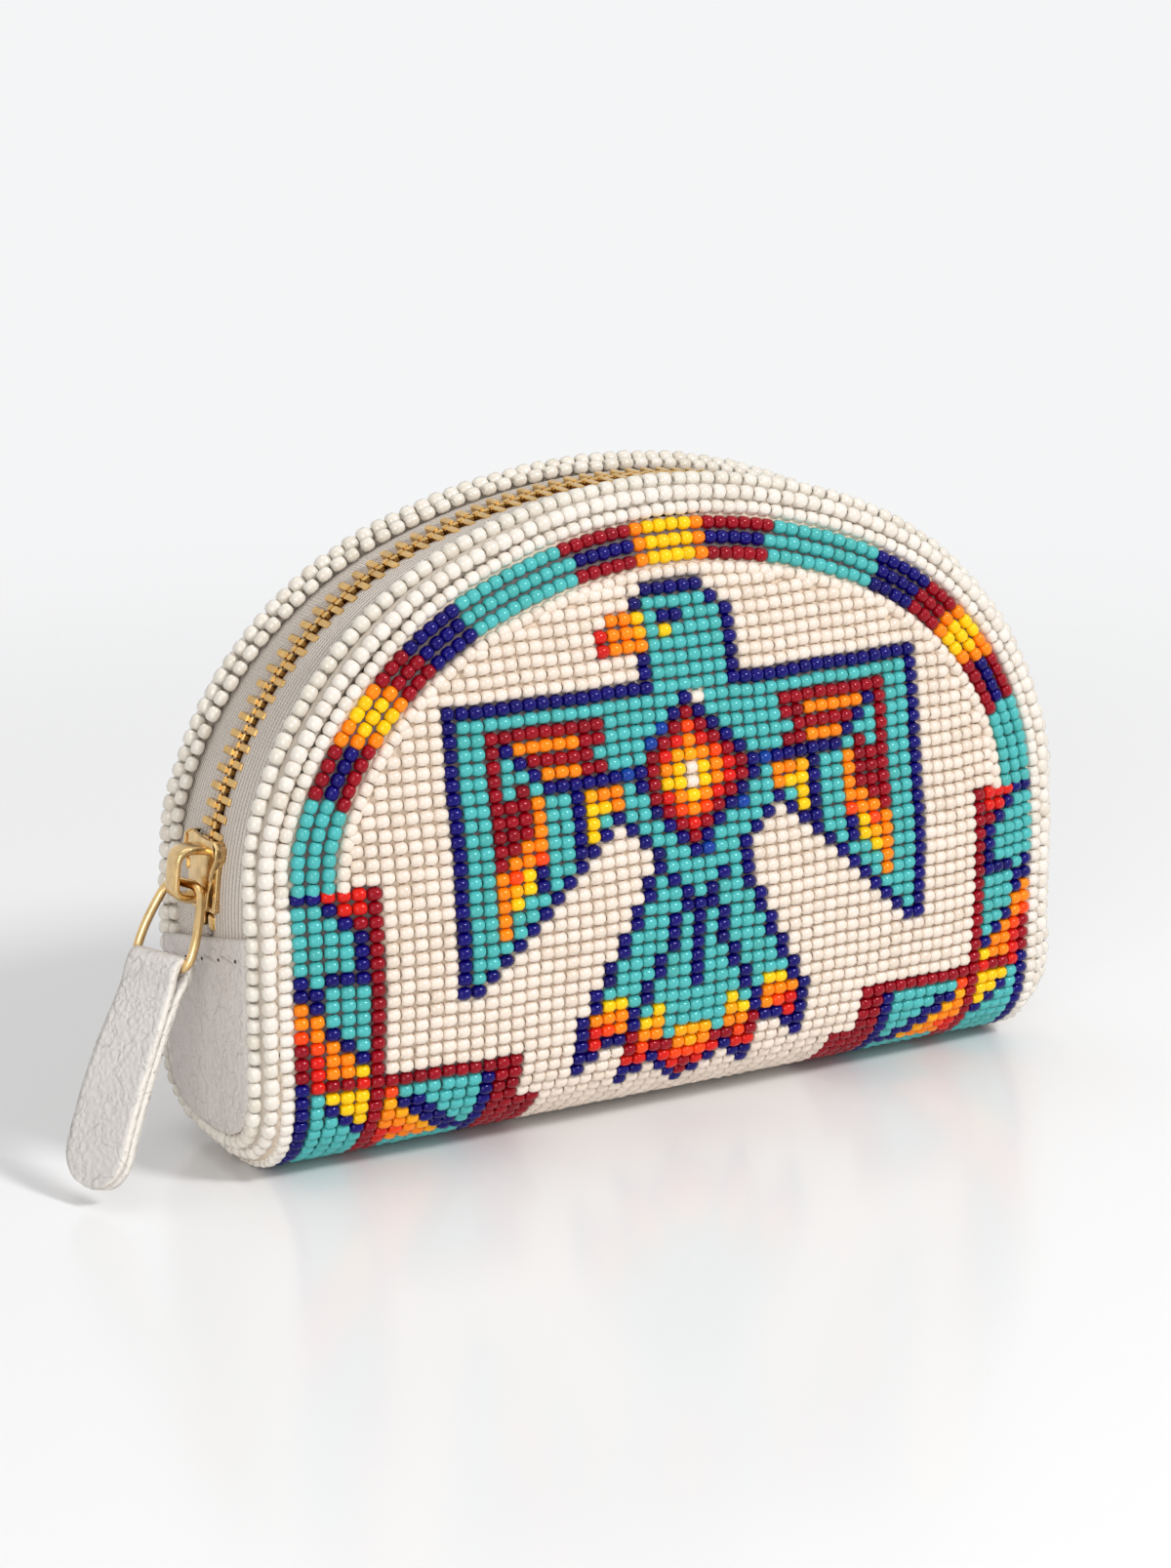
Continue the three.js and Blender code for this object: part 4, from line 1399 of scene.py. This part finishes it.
@dataclass
class EdgeRoll:
    """Rows of pearly beads round the whole edge, over a soft core."""

    form: PouchForm
    box: BeadBox
    offset: float = 2.4
    inset: float = 1.0
    foot: float = 2.7
    core: float = 1.25
    core_depth: float = 0.45
    core_follow: float = 0.8
    core_tint: tuple = (0.86, 0.81, 0.75)
    flare: float = 1.6
    beside: float = 2.0
    arch_steps: int = 320
    end_steps: int = 120
    core_steps: int = 360
    rows: tuple = (
        RollRow("edge_middle", Bead.WHITE, out=0.02, face=0.50, pitch=1.78, follow=0.9),
        RollRow("edge_inner", Bead.PEARL, out=1.27, face=-0.90, pitch=1.84, follow=0.45),
        RollRow("edge_lining", Bead.PEARL, 0.95, -2.35, 1.95, 0.2, (0.95, 0.82)),
    )

    def loop(self) -> list:
        """Traces the edge: front arch, one end, back arch, other end.

        Returns:
            Points in millimetres, about 0.5 apart.
        """
        form = self.form
        points = []
        whole = form.arch_length(self.offset)
        side_depth = form.rim_half_depth - self.inset
        for side in (-1, 1):
            for i in range(self.arch_steps):
                x, z, _, _ = form.arch_point(self.offset, whole * i / self.arch_steps)
                points.append(Vector((-side * x, side * (form.rim_depth(z) - self.inset), z)))
            points += self.end_points(side, side_depth)
        return points

    def end_points(self, side: int, depth: float) -> list:
        """Traces one end of the edge.

        Args:
            side: -1 for the end after the front arch and 1 for the other.
            depth: Half the end's depth.

        Returns:
            Its points.
        """
        form = self.form
        points = []
        power, drop = 2 / form.fold_power, form.fold_height - self.foot
        x = -side * (form.half_width + self.offset)
        for i in range(self.end_steps):
            turn = math.pi * i / self.end_steps
            c, s = math.cos(turn), math.sin(turn)
            y = side * depth * math.copysign(abs(c) ** power, c)
            points.append(Vector((x, y, form.fold_height - drop * s**power)))
        return points

    def even(self, points: list, count: int) -> list:
        """Spreads points evenly along a closed line.

        Args:
            points: The line.
            count: How many points to give.

        Returns:
            Pairs of a point and the direction there.
        """
        ends = points[1:] + points[:1]
        lengths = [(b - a).length for a, b in zip(points, ends)]
        whole = sum(lengths)
        made, i, gone = [], 0, 0.0
        for k in range(count):
            goal = whole * k / count
            while gone + lengths[i] < goal:
                gone += lengths[i]
                i += 1
            share = (goal - gone) / lengths[i] if lengths[i] else 0.0
            made.append((points[i].lerp(ends[i], share), (ends[i] - points[i]).normalized()))
        return made

    def frames(self, count: int) -> list:
        """Gives evenly spread frames along the edge.

        Args:
            count: How many.

        Returns:
            Tuples of the point, the direction along, the direction out of the purse, and
            the direction towards its outer face.
        """
        made = []
        for point, along in self.even(self.loop(), count):
            hub = Vector((0, 0, min(point.z, self.form.spring)))
            out = point - hub
            out.y = 0 if point.z > self.form.fold_height + self.beside else out.y
            out = (out - along * out.dot(along)).normalized()
            below = min(point.z - self.form.fold_height, 0)
            face = Vector((0, point.y, below * self.flare))
            face = face - along * face.dot(along)
            face = (face - out * face.dot(out)).normalized()
            made.append((point, along, out, face))
        return made

    def proud(self, point: Vector) -> float:
        """Gives how far the panel's own edge stands out beside the roll.

        Args:
            point: A point of the roll.

        Returns:
            The distance, or 0 at the foot of the ends.
        """
        form = self.form
        if point.z < form.fold_height:
            return 0.0
        inward = (Vector((0, 0, min(point.z, form.spring))) - point).normalized()
        x, z = point.x + inward.x * self.beside, point.z + inward.z * self.beside
        return form.half_depth(x, z) - form.rim_depth(z)

    def core_place(self, frames: list, u: float, v: float) -> Vector:
        """Gives a point of the soft core.

        Args:
            frames: The frames along the edge.
            u: Share along the edge.
            v: Share round the core.

        Returns:
            The point in millimetres.
        """
        point, _, out, face = frames[round(u * len(frames)) % len(frames)]
        turn = v * 2 * math.pi
        inward = self.core_depth + self.form.inset(point.z) * self.core_follow
        outward = self.proud(point) * self.core_follow - self.core_depth
        middle = point - out * inward + face * outward
        return middle + (out * math.cos(turn) + face * math.sin(turn)) * self.core

    def build(self) -> None:
        """Makes the core and sews the rows, the innermost on the back arch only."""
        frames = self.frames(self.core_steps)
        place = partial(self.core_place, frames)
        core = mapped_sheet((self.core_steps, 10), place, closed=(True, True))
        piece = finish_mesh("edge_core", core, ThreadFinish(self.core_tint).material())
        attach(piece, "purse")
        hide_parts("beaded_edge_roll")
        log.info("edge core")
        length = sum((b[0] - a[0]).length for a, b in zip(frames, frames[1:] + frames[:1]))
        chance = random.Random(41)
        for row in self.rows:
            string = self.box.string(row.region, row.colour, "edge")
            for point, along, out, face in self.frames(round(length / row.pitch)):
                if row.region == "edge_lining" and point.y < 0:
                    continue
                proud = row.face + self.proud(point) * row.follow
                aside = out * (row.out - self.form.inset(point.z)) + face * proud
                swell = chance.uniform(0.95, 1.04)
                spot = point + aside + along * chance.uniform(-0.07, 0.07)
                string.add(spot, along, aside.normalized(), [part * swell for part in row.size])


@dataclass
class Zip:
    """Two woven tapes with brass teeth, and the stops at their ends."""

    form: PouchForm
    offset: float = 2.45
    pitch: float = 2.0
    tape_thickness: float = 0.5
    tape_slit: float = 0.95
    tape_flat: float = 4.3
    tape_inset: float = 2.35
    tape_tuck: float = 0.4
    tape_lift: float = 0.25
    tape_fall: float = 0.55
    tape_dip: float = 0.45
    tape_width: float = 10.5
    tape_end: float = 21.0
    chain_start: float = 29.4
    chain_gap: float = 0.4
    stop_drop: float = 1.2
    stop_size: tuple = (1.7, 1.7, 1.8)
    bottom_stop_width: float = 4.6

    def path(self, distance: float, out: float, y: float) -> Vector:
        """Gives a point near the zip's line.

        Args:
            distance: The way along the line from the left spring.
            out: How far it stands out of the line.
            y: Its place across.

        Returns:
            The point in millimetres.
        """
        x, z, nx, nz = self.form.arch_point(self.offset, distance)
        return Vector((x + nx * out, y, z + nz * out))

    @property
    def tape_length(self) -> float:
        """The length of both tapes from end to end."""
        return self.form.arch_length(self.offset) - 2 * (self.tape_end - self.form.spring)

    def tape_place(self, side: int, u: float, v: float) -> Vector:
        """Gives a point of a tape's outer face.

        Args:
            side: -1 in front and 1 behind.
            u: Share along the tape.
            v: Share across, from the teeth to the roll.

        Returns:
            The point in millimetres.
        """
        distance = self.tape_end - self.form.spring + self.tape_length * u
        inner = self.form.rim_depth(self.path(distance, 0, 0).z) - self.tape_inset
        y = self.tape_slit + (inner + self.tape_tuck - self.tape_slit) * v
        drop = max(y - self.tape_flat, 0.0) / max(inner - self.tape_flat, 0.5)
        dip = self.tape_dip * math.exp(-(((y - 0.9) / 1.1) ** 2))
        out = self.tape_lift - self.tape_fall * drop * drop - dip
        return self.path(distance, out, side * y)

    def build_tapes(self) -> None:
        """Weaves both tapes."""
        finish = WovenFinish("zip_tape_weave", (0.96, 0.91, 0.86)).material()
        for word, side in (("front", -1), ("back", 1)):
            place = partial(self.tape_place, side)
            tape = mapped_sheet((180, 20), place, weave=(self.tape_length, self.tape_width))
            thicken(tape, self.tape_thickness)
            piece = finish_mesh(f"woven_tape_{word}", tape, finish)
            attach(piece, "purse")
            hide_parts(f"zip_tape_{word}")
            log.info("%s", piece.name)

    def tooth(self) -> bpy.types.Mesh:
        """Makes one tooth: a bar that grips the tape, and a rounder head.

        Returns:
            The mesh, with the tape side towards +Y and the head towards -Y.
        """
        mesh = bmesh.new()
        add_box(mesh, (0.0, 1.62, 0.12), (0.86, 2.20, 1.62))
        add_box(mesh, (0.0, 0.25, 0.02), (0.70, 1.30, 1.35))
        add_box(mesh, (0.0, -0.22, 0.30), (0.86, 0.60, 1.20))
        soften(mesh, 0.14, 1)
        return as_mesh("tooth_shape", mesh)

    def build_teeth(self) -> None:
        """Sets a tooth every pitch on each tape, the two tapes half a pitch apart."""
        form = self.form
        whole = form.arch_length(self.offset)
        start = self.chain_start - form.spring
        finish = CastMetalFinish("tooth_brass_metal", (0.90, 0.73, 0.45), 0.16).material()
        shape = self.tooth()
        for word, side in (("front", -1), ("back", 1)):
            mesh = bmesh.new()
            first = start + self.chain_gap + (0.0 if side < 0 else self.pitch / 2)
            count = int((whole - start - first) / self.pitch) + 1
            for i in range(count):
                distance = first + i * self.pitch
                centre = self.path(distance, 0, 0)
                out = (self.path(distance, 1, 0) - centre).normalized()
                across = Y_AXIS * side
                turn = axes(across.cross(out), across, out)
                stamp(mesh, shape, Matrix.Translation(centre * MM) @ turn)
            bmesh.ops.recalc_face_normals(mesh, faces=mesh.faces)
            piece = finish_mesh(f"brass_teeth_{word}", mesh, finish, smooth=False)
            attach(piece, "purse")
            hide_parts(f"zip_teeth_{word}")
            log.info("%s: %d teeth", piece.name, count)
        self.build_stops(finish)

    def build_stops(self, finish: bpy.types.Material) -> None:
        """Makes the stops at both ends.

        Args:
            finish: The brass.
        """
        thick, width, high = self.stop_size
        z = self.chain_start - self.stop_drop
        end = self.form.half_width + self.offset
        stops = (
            ("top_stop_front", -end, -1.45, width),
            ("top_stop_back", -end, 1.45, width),
            ("bottom_stop", end, 0.0, self.bottom_stop_width),
        )
        for name, x, y, wide in stops:
            mesh = bmesh.new()
            add_box(mesh, (x, y, z), (thick, wide, high))
            soften(mesh, 0.4, 3)
            piece = finish_mesh(f"rounded_{name}", mesh, finish)
            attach(piece, "purse")
            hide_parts(name)
            log.info("%s", piece.name)

    def build(self) -> None:
        """Builds the tapes, teeth and stops."""
        self.build_tapes()
        self.build_teeth()


@dataclass
class SliderAndPull:
    """The slider, the wire ring through its crown, and the leather tab."""

    form: PouchForm
    height: float = 33.5
    offset: float = 2.45
    length: float = 8.7
    width: float = 8.5
    plate_thickness: float = 0.75
    channel: float = 1.0
    wall_depth: float = 1.5
    wall_thickness: float = 0.3
    flange_foot: float = 0.6
    flange_top: float = 1.6
    flange_reach: tuple = (2.9, 3.6)
    crown_reach: float = 3.25
    crown_half_length: float = 2.75
    crown_half_width: float = 1.40
    crown_root: float = 0.7
    crown_sink: float = 0.15
    crown_thickness: float = 0.42
    crown_flare: float = 0.15
    bar: tuple = (-2.22, 0.0, -1.1)
    waist: tuple = (
        (0.44, -0.93), (0.54, -0.84), (0.57, -0.4), (0.72, -0.05), (0.80, 0.22),
        (1.0, 0.55), (0.98, 0.82), (0.74, 0.97), (0.2, 0.9),
    )
    wire: float = 0.54
    bend: float = 1.8
    ring_top: float = 4.9
    ring_foot: float = 8.0
    ring_length: float = 9.3
    ring_bow: float = 0.16
    turn: float = math.radians(22)
    lean: float = math.radians(27)
    tab_length: float = 25.4
    tab_width: float = 8.4
    tab_wall: float = 0.95
    tab_play: float = 0.15
    tab_drop: float = 1.2
    tab_bow: float = 0.9
    tab_close: float = 1.6
    tab_neck: float = 0.15
    tab_neck_length: float = 7.0

    @property
    def path_radius(self) -> float:
        """The radius of the zip's line at the corner."""
        return self.form.corner_radius + self.offset

    @property
    def angle(self) -> float:
        """How far the slider has gone round the corner arc."""
        return math.asin((self.height - self.form.spring) / self.path_radius)

    def seat(self) -> Matrix:
        """Gives the slider's place: Z along the zip and -X out of it, in millimetres."""
        hub = Matrix.Translation((-self.form.corner_x, 0, self.form.spring))
        turn = Matrix.Rotation(self.angle, 4, "Y")
        return hub @ turn @ Matrix.Translation((-self.path_radius, 0, 0))

    def hang(self) -> Matrix:
        """Gives the ring's place: -Z down the ring and Y across it, in millimetres."""
        bar = self.seat() @ (Vector(self.bar) - X_AXIS * self.channel)
        turn = Matrix.Rotation(self.turn, 4, "Z") @ Matrix.Rotation(self.lean, 4, "Y")
        return Matrix.Translation(bar) @ turn

    def settle(self, mesh: bmesh.types.BMesh, matrix: Matrix) -> None:
        """Moves a bmesh in metres by a matrix in millimetres."""
        moved = matrix.copy()
        moved.translation = matrix.translation * MM
        bmesh.ops.transform(mesh, matrix=moved, verts=mesh.verts)

    def outline(self) -> list:
        """Draws the slider's waisted plate.

        Returns:
            The outline as (y, z) pairs.
        """
        half, long = self.width / 2, self.length / 2
        right = [(half * y, long * z) for y, z in self.waist]
        return right + [(-y, z) for y, z in reversed(right)]

    def build_slider(self, finish: bpy.types.Material) -> None:
        """Makes the two plates, the crown, the side walls and the flanges.

        Args:
            finish: The gold-coloured metal.
        """
        thick, channel = self.plate_thickness, self.channel
        parts = [
            plate(self.outline(), side * (channel + thick / 2), thick, 0.22, 3)
            for side in (-1, 1)
        ]
        parts.append(mapped_sheet((28, 20), self.crown_place, closed=(False, True)))
        for hand in (-1, 1):
            outer = [(hand * y, z) for y, z in self.outline()[3:8]]
            inner = [(y - hand * self.wall_thickness, z) for y, z in reversed(outer)]
            parts.append(plate(outer + inner, -channel - 0.15, self.wall_depth, 0.16, 2))
        z0, z1 = self.flange_foot - self.length / 2, self.length / 2 - self.flange_top
        for hand in (-1, 1):
            y0, y1 = (hand * y for y in self.flange_reach)
            corners = ((y0, z0), (y1, z0), (y1, z1), (y0, z1))
            parts += [plate(corners, side * 0.9, thick, 0.12, 2) for side in (-1, 1)]
        whole = bmesh.new()
        for part in parts:
            whole.from_mesh(as_mesh("slider_part", part))
        self.settle(whole, self.seat())
        bmesh.ops.recalc_face_normals(whole, faces=whole.faces)
        piece = finish_mesh("zip_slider", whole, finish)
        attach(piece, "slider")
        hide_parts("slider")
        log.info("slider")

    def crown_place(self, u: float, v: float) -> Vector:
        """Gives a point of the crown, a rounded frame that stands on the outer plate.

        Args:
            u: Share along the frame, from its upper foot to its lower one.
            v: Share round its wall.

        Returns:
            The point beside the slider's middle, in millimetres.
        """
        foot = -self.channel - self.crown_root
        c, s = math.cos(math.pi * u), math.sin(math.pi * u)
        reach_z = self.crown_half_length * math.copysign(abs(c) ** 0.45, c)
        reach_x = self.crown_reach * abs(s) ** 0.5
        middle = Vector((foot + self.crown_sink - reach_x, 0, reach_z))
        out = Vector((0, 0, c)) if u in (0, 1) else (middle - X_AXIS * foot).normalized()
        thick = self.crown_thickness + self.crown_flare * c * c
        ring = (math.cos(v * 2 * math.pi), math.sin(v * 2 * math.pi))
        x, y = (math.copysign(abs(part) ** 0.55, part) for part in ring)
        return middle + out * thick * x + Y_AXIS * self.crown_half_width * y

    def ring_place(self, u: float, v: float) -> Vector:
        """Gives a point of the wire ring.

        Args:
            u: Share round the ring.
            v: Share round the wire.

        Returns:
            The point, hanging from the origin, in millimetres.
        """
        bend = self.bend
        top, foot, down = self.ring_top / 2, self.ring_foot / 2, -self.ring_length
        corners = ((-top, 0), (top, 0), (foot, down), (-foot, down))
        corners = [Vector((0, *corner)) for corner in corners]
        at = (u % 1.0) * 4
        i, share = int(at) % 4, at - int(at)
        before, corner, after = corners[i - 1], corners[i], corners[(i + 1) % 4]
        start = corner + (before - corner).normalized() * bend
        end = corner + (after - corner).normalized() * bend
        far = after + (corner - after).normalized() * bend
        if share < 0.5:
            t = share * 2
            centre = start * (1 - t) ** 2 + corner * 2 * t * (1 - t) + end * t * t
            tangent = ((corner - start) * (1 - t) + (end - corner) * t).normalized()
        else:
            centre = end.lerp(far, share * 2 - 1)
            tangent = (far - end).normalized()
        across = tangent.cross(X_AXIS)
        share = min(-centre.z / self.ring_length, 1.0)
        centre.y *= 1 + self.ring_bow * math.sin(math.pi * share)
        turn = v * 2 * math.pi
        return centre + (across * math.cos(turn) + X_AXIS * math.sin(turn)) * self.wire

    def build_ring(self, finish: bpy.types.Material) -> None:
        """Bends the wire ring.

        Args:
            finish: The gold-coloured metal.
        """
        mesh = mapped_sheet((96, 12), self.ring_place, closed=(True, True))
        self.settle(mesh, self.hang())
        piece = finish_mesh("wire_ring", mesh, finish)
        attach(piece, "ring")
        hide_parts("pull_ring")
        log.info("ring")

    def tab_place(self, u: float, v: float) -> Vector:
        """Gives a point of the folded leather strip's outer face.

        Args:
            u: Share from one tip, round the ring's foot, to the other tip.
            v: Share across.

        Returns:
            The point below the ring's foot, in millimetres.
        """
        wall = self.tab_wall
        loop = self.wire + self.tab_play + wall
        straight = self.tab_length - self.tab_drop
        arc = math.pi * loop
        s = u * (2 * straight + arc)
        down = max(straight - s, s - straight - arc, 0.0)
        if down > 0:
            side = 1.0 if s < straight else -1.0
            x = side * (wall + 0.02 + (loop - wall) * math.exp(-down / self.tab_close))
            x -= self.tab_bow * math.sin(math.pi * min(down / straight, 1.0))
            z = -self.tab_drop - down
        else:
            turn = (s - straight) / loop
            x, z = loop * math.cos(turn), loop * math.sin(turn) - 0.2
        radius = self.tab_width / 2
        past = max(radius - straight + down, 0.0)
        half = math.sqrt(max(radius**2 - past**2, 0.0004))
        neck = 1 - self.tab_neck * math.exp(-((down / self.tab_neck_length) ** 2))
        return Vector((x, half * neck * (2 * v - 1), z))

    def build_tab(self) -> None:
        """Folds the leather tab round the ring's foot."""
        mesh = mapped_sheet((120, 14), self.tab_place)
        bmesh.ops.remove_doubles(mesh, verts=mesh.verts, dist=0.01 * MM)
        rim = mesh.verts.layers.float.new("rim")
        for vert in mesh.verts:
            vert[rim] = float(vert.is_boundary)
        thicken(mesh, self.tab_wall)
        self.settle(mesh, self.hang() @ Matrix.Translation((0, 0, -self.ring_length)))
        finish = LeatherFinish("tab_leather", (0.85, 0.83, 0.81)).material()
        piece = finish_mesh("leather_tab", mesh, finish)
        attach(piece, "tab")
        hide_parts("pull_tab")
        log.info("tab")

    def build(self) -> None:
        """Builds the slider, the ring and the tab."""
        finish = CastMetalFinish("pale_gold_metal", (0.93, 0.79, 0.56), 0.12).material()
        self.build_slider(finish)
        self.build_ring(finish)
        self.build_tab()


@dataclass
class LeatherEnds:
    """The two leather end pieces inside the rounded ends of the roll."""

    form: PouchForm
    top: float = 26.3
    foot: float = 4.4
    slant: float = -0.24
    wall: float = 0.8
    inset: float = 2.3
    reach: float = 2.85
    swell: float = 0.35
    stitch: float = 4.4
    stitch_drop: float = 2.5
    stitch_rise: float = 0.12

    @property
    def face(self) -> float:
        """How far the leather's outer face stands from the purse's middle."""
        return self.form.half_width + self.reach + self.wall

    def patch_place(self, side: int, u: float, v: float) -> Vector:
        """Gives a point of an end's outer face.

        Args:
            side: -1 on the left and 1 on the right.
            u: Share down from the top edge.
            v: Share across, from front to back.

        Returns:
            The point in millimetres.
        """
        form, across = self.form, 2 * v - 1
        half = form.rim_half_depth - self.inset
        top = self.top + self.slant * half * across
        z = top + (self.foot - top) * u
        drop = (form.fold_height - z) / (form.fold_height - self.foot)
        drop = min(max(drop, 0.0), 0.999)
        wide = half * (1 - drop**form.fold_power) ** (1 / form.fold_power)
        swell = self.swell * (1 - across**2) * math.sin(math.pi * u)
        return Vector((side * (self.face + swell), wide * across, z))

    def sew(self, word: str, side: int) -> None:
        """Sews a line of stitches along the top edge, with dark dots of painted shade in the
        holes.

        Args:
            word: The end's name.
            side: -1 on the left and 1 on the right.
        """
        x = side * (self.face + self.stitch_rise)
        # The stitches are pale thread; the dark dots between them are painted shade in the
        # stitch holes.
        kinds = (
            ("leather_stitches", (0.14, 1.75, 0.16), 0.5, (0.90, 0.87, 0.83)),
            ("stitch_hole_shade", (0.10, 0.26, 0.20), 0.0, (0.35, 0.29, 0.24)),
        )
        for kind, size, late, tint in kinds:
            mesh = bmesh.new()
            for i in range(-2, 3):
                made = bmesh.ops.create_uvsphere(mesh, u_segments=10, v_segments=6, radius=1.0)
                verts = made["verts"]
                bmesh.ops.scale(mesh, verts=verts, vec=Vector(size) * MM)
                y = min(i + late, 2) * self.stitch
                spot = Vector((x, y, self.top + self.slant * y - self.stitch_drop))
                bmesh.ops.translate(mesh, verts=verts, vec=spot * MM)
            piece = finish_mesh(f"{kind}_{word}", mesh, ThreadFinish(tint).material())
            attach(piece, "purse")
            log.info("%s", piece.name)

    def build(self) -> None:
        """Cuts and sets both ends."""
        finish = LeatherFinish("end_leather", (0.86, 0.825, 0.80)).material()
        for word, side in (("left", -1), ("right", 1)):
            mesh = mapped_sheet((40, 24), partial(self.patch_place, side))
            if sum(part.normal.x * side for part in mesh.faces) < 0:
                bmesh.ops.reverse_faces(mesh, faces=mesh.faces)
            thicken(mesh, self.wall)
            piece = finish_mesh(f"leather_patch_{word}", mesh, finish)
            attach(piece, "purse")
            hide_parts(f"leather_end_{word}")
            self.sew(word, side)
            log.info("%s", piece.name)


# ---------------------------------------------------------------- studio


@dataclass(frozen=True)
class Studio:
    """The floor, the light and the camera."""

    place: tuple = (-0.21578, -0.36874, 0.15518)
    azimuth: float = -29.79
    elevation: float = 15.54
    lens: float = 87.8
    surround: float = 0.45
    backdrop: tuple = (0.960, 0.962, 0.966)
    aim: tuple = (0.0, 0.0, 0.035)
    lamps: tuple = (
        ("key", (0.36, -0.70, 0.72), 0.2, 0.59),
        ("front", (-0.65, -0.75, 0.30), 0.5, 0.34),
        ("top", (-0.1, 0.2, 1.1), 0.7, 0.14),
    )

    def build_camera(self) -> None:
        """Makes the camera at the photograph's viewing angle."""
        data = bpy.data.cameras.new("studio_camera")
        data.lens = self.lens
        data.sensor_width = 36.0
        data.clip_start = 0.01
        camera = bpy.data.objects.new("studio_camera", data)
        camera.location = self.place
        pitch = math.radians(90 - self.elevation)
        camera.rotation_euler = (pitch, 0.0, math.radians(self.azimuth))
        bpy.context.scene.collection.objects.link(camera)
        bpy.context.scene.camera = camera

    def hang_lamp(self, name: str, place: tuple, size: float, level: float) -> None:
        """Hangs a soft square lamp that faces the purse.

        Args:
            name: Its name.
            place: Where it hangs, in metres.
            size: Its width in metres.
            level: The brightness it gives a white surface that faces it at the aim.
        """
        data = bpy.data.lights.new(name, "AREA")
        data.shape = "RECTANGLE"
        data.size = data.size_y = size
        way = Vector(self.aim) - Vector(place)
        data.energy = level * math.pi**2 * way.length_squared
        lamp = bpy.data.objects.new(name, data)
        lamp.location = place
        lamp.rotation_euler = way.to_track_quat("-Z", "Y").to_euler()
        bpy.context.scene.collection.objects.link(lamp)

    def build_floor(self) -> None:
        """Lays the floor."""
        mesh = bmesh.new()
        bmesh.ops.create_grid(mesh, x_segments=4, y_segments=4, size=6.0)
        floor = finish_mesh("white_table", mesh, FloorFinish().material())

    def build_world(self) -> None:
        """Sets the world to an even pale light with a near-white backdrop."""
        world = bpy.data.worlds.new("studio_world")
        world.use_nodes = True
        nodes, links = world.node_tree.nodes, world.node_tree.links
        light = nodes["Background"]
        light.inputs["Color"].default_value = (1, 1, 1, 1)
        light.inputs["Strength"].default_value = self.surround
        seen = nodes.new("ShaderNodeBackground")
        seen.inputs["Color"].default_value = linear(*self.backdrop)
        path = nodes.new("ShaderNodeLightPath")
        mix = nodes.new("ShaderNodeMixShader")
        share = path.outputs["Is Camera Ray"]
        for kind in ("Is Glossy Ray", "Is Transmission Ray"):
            more = nodes.new("ShaderNodeMath")
            more.operation = "MAXIMUM"
            links.new(share, more.inputs[0])
            links.new(path.outputs[kind], more.inputs[1])
            share = more.outputs[0]
        links.new(share, mix.inputs[0])
        links.new(light.outputs[0], mix.inputs[1])
        links.new(seen.outputs[0], mix.inputs[2])
        links.new(mix.outputs[0], nodes["World Output"].inputs["Surface"])
        bpy.context.scene.world = world

    def build(self) -> None:
        """Builds the studio."""
        self.build_camera()
        self.build_floor()
        self.build_world()
        for lamp in self.lamps:
            self.hang_lamp(*lamp)
        bpy.context.scene.view_settings.view_transform = "Standard"


def main() -> None:
    """Builds the purse and its studio in order."""
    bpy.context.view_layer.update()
    Studio().build()
    form = PouchForm()
    box = BeadBox()
    BeadedPanel(form, box).build()
    EdgeRoll(form, box).build()
    fields = [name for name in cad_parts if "_beads" in name]
    bands = [name for name in fields if name.startswith("band_")]
    figures = [name for name in fields if not name.startswith("band_")]
    box.finish({"band_beads": bands, "front_beads": figures})
    Zip(form).build()
    SliderAndPull(form).build()
    LeatherEnds(form).build()


if __name__ == "__main__":
    logging.basicConfig(level=logging.INFO)
    main()
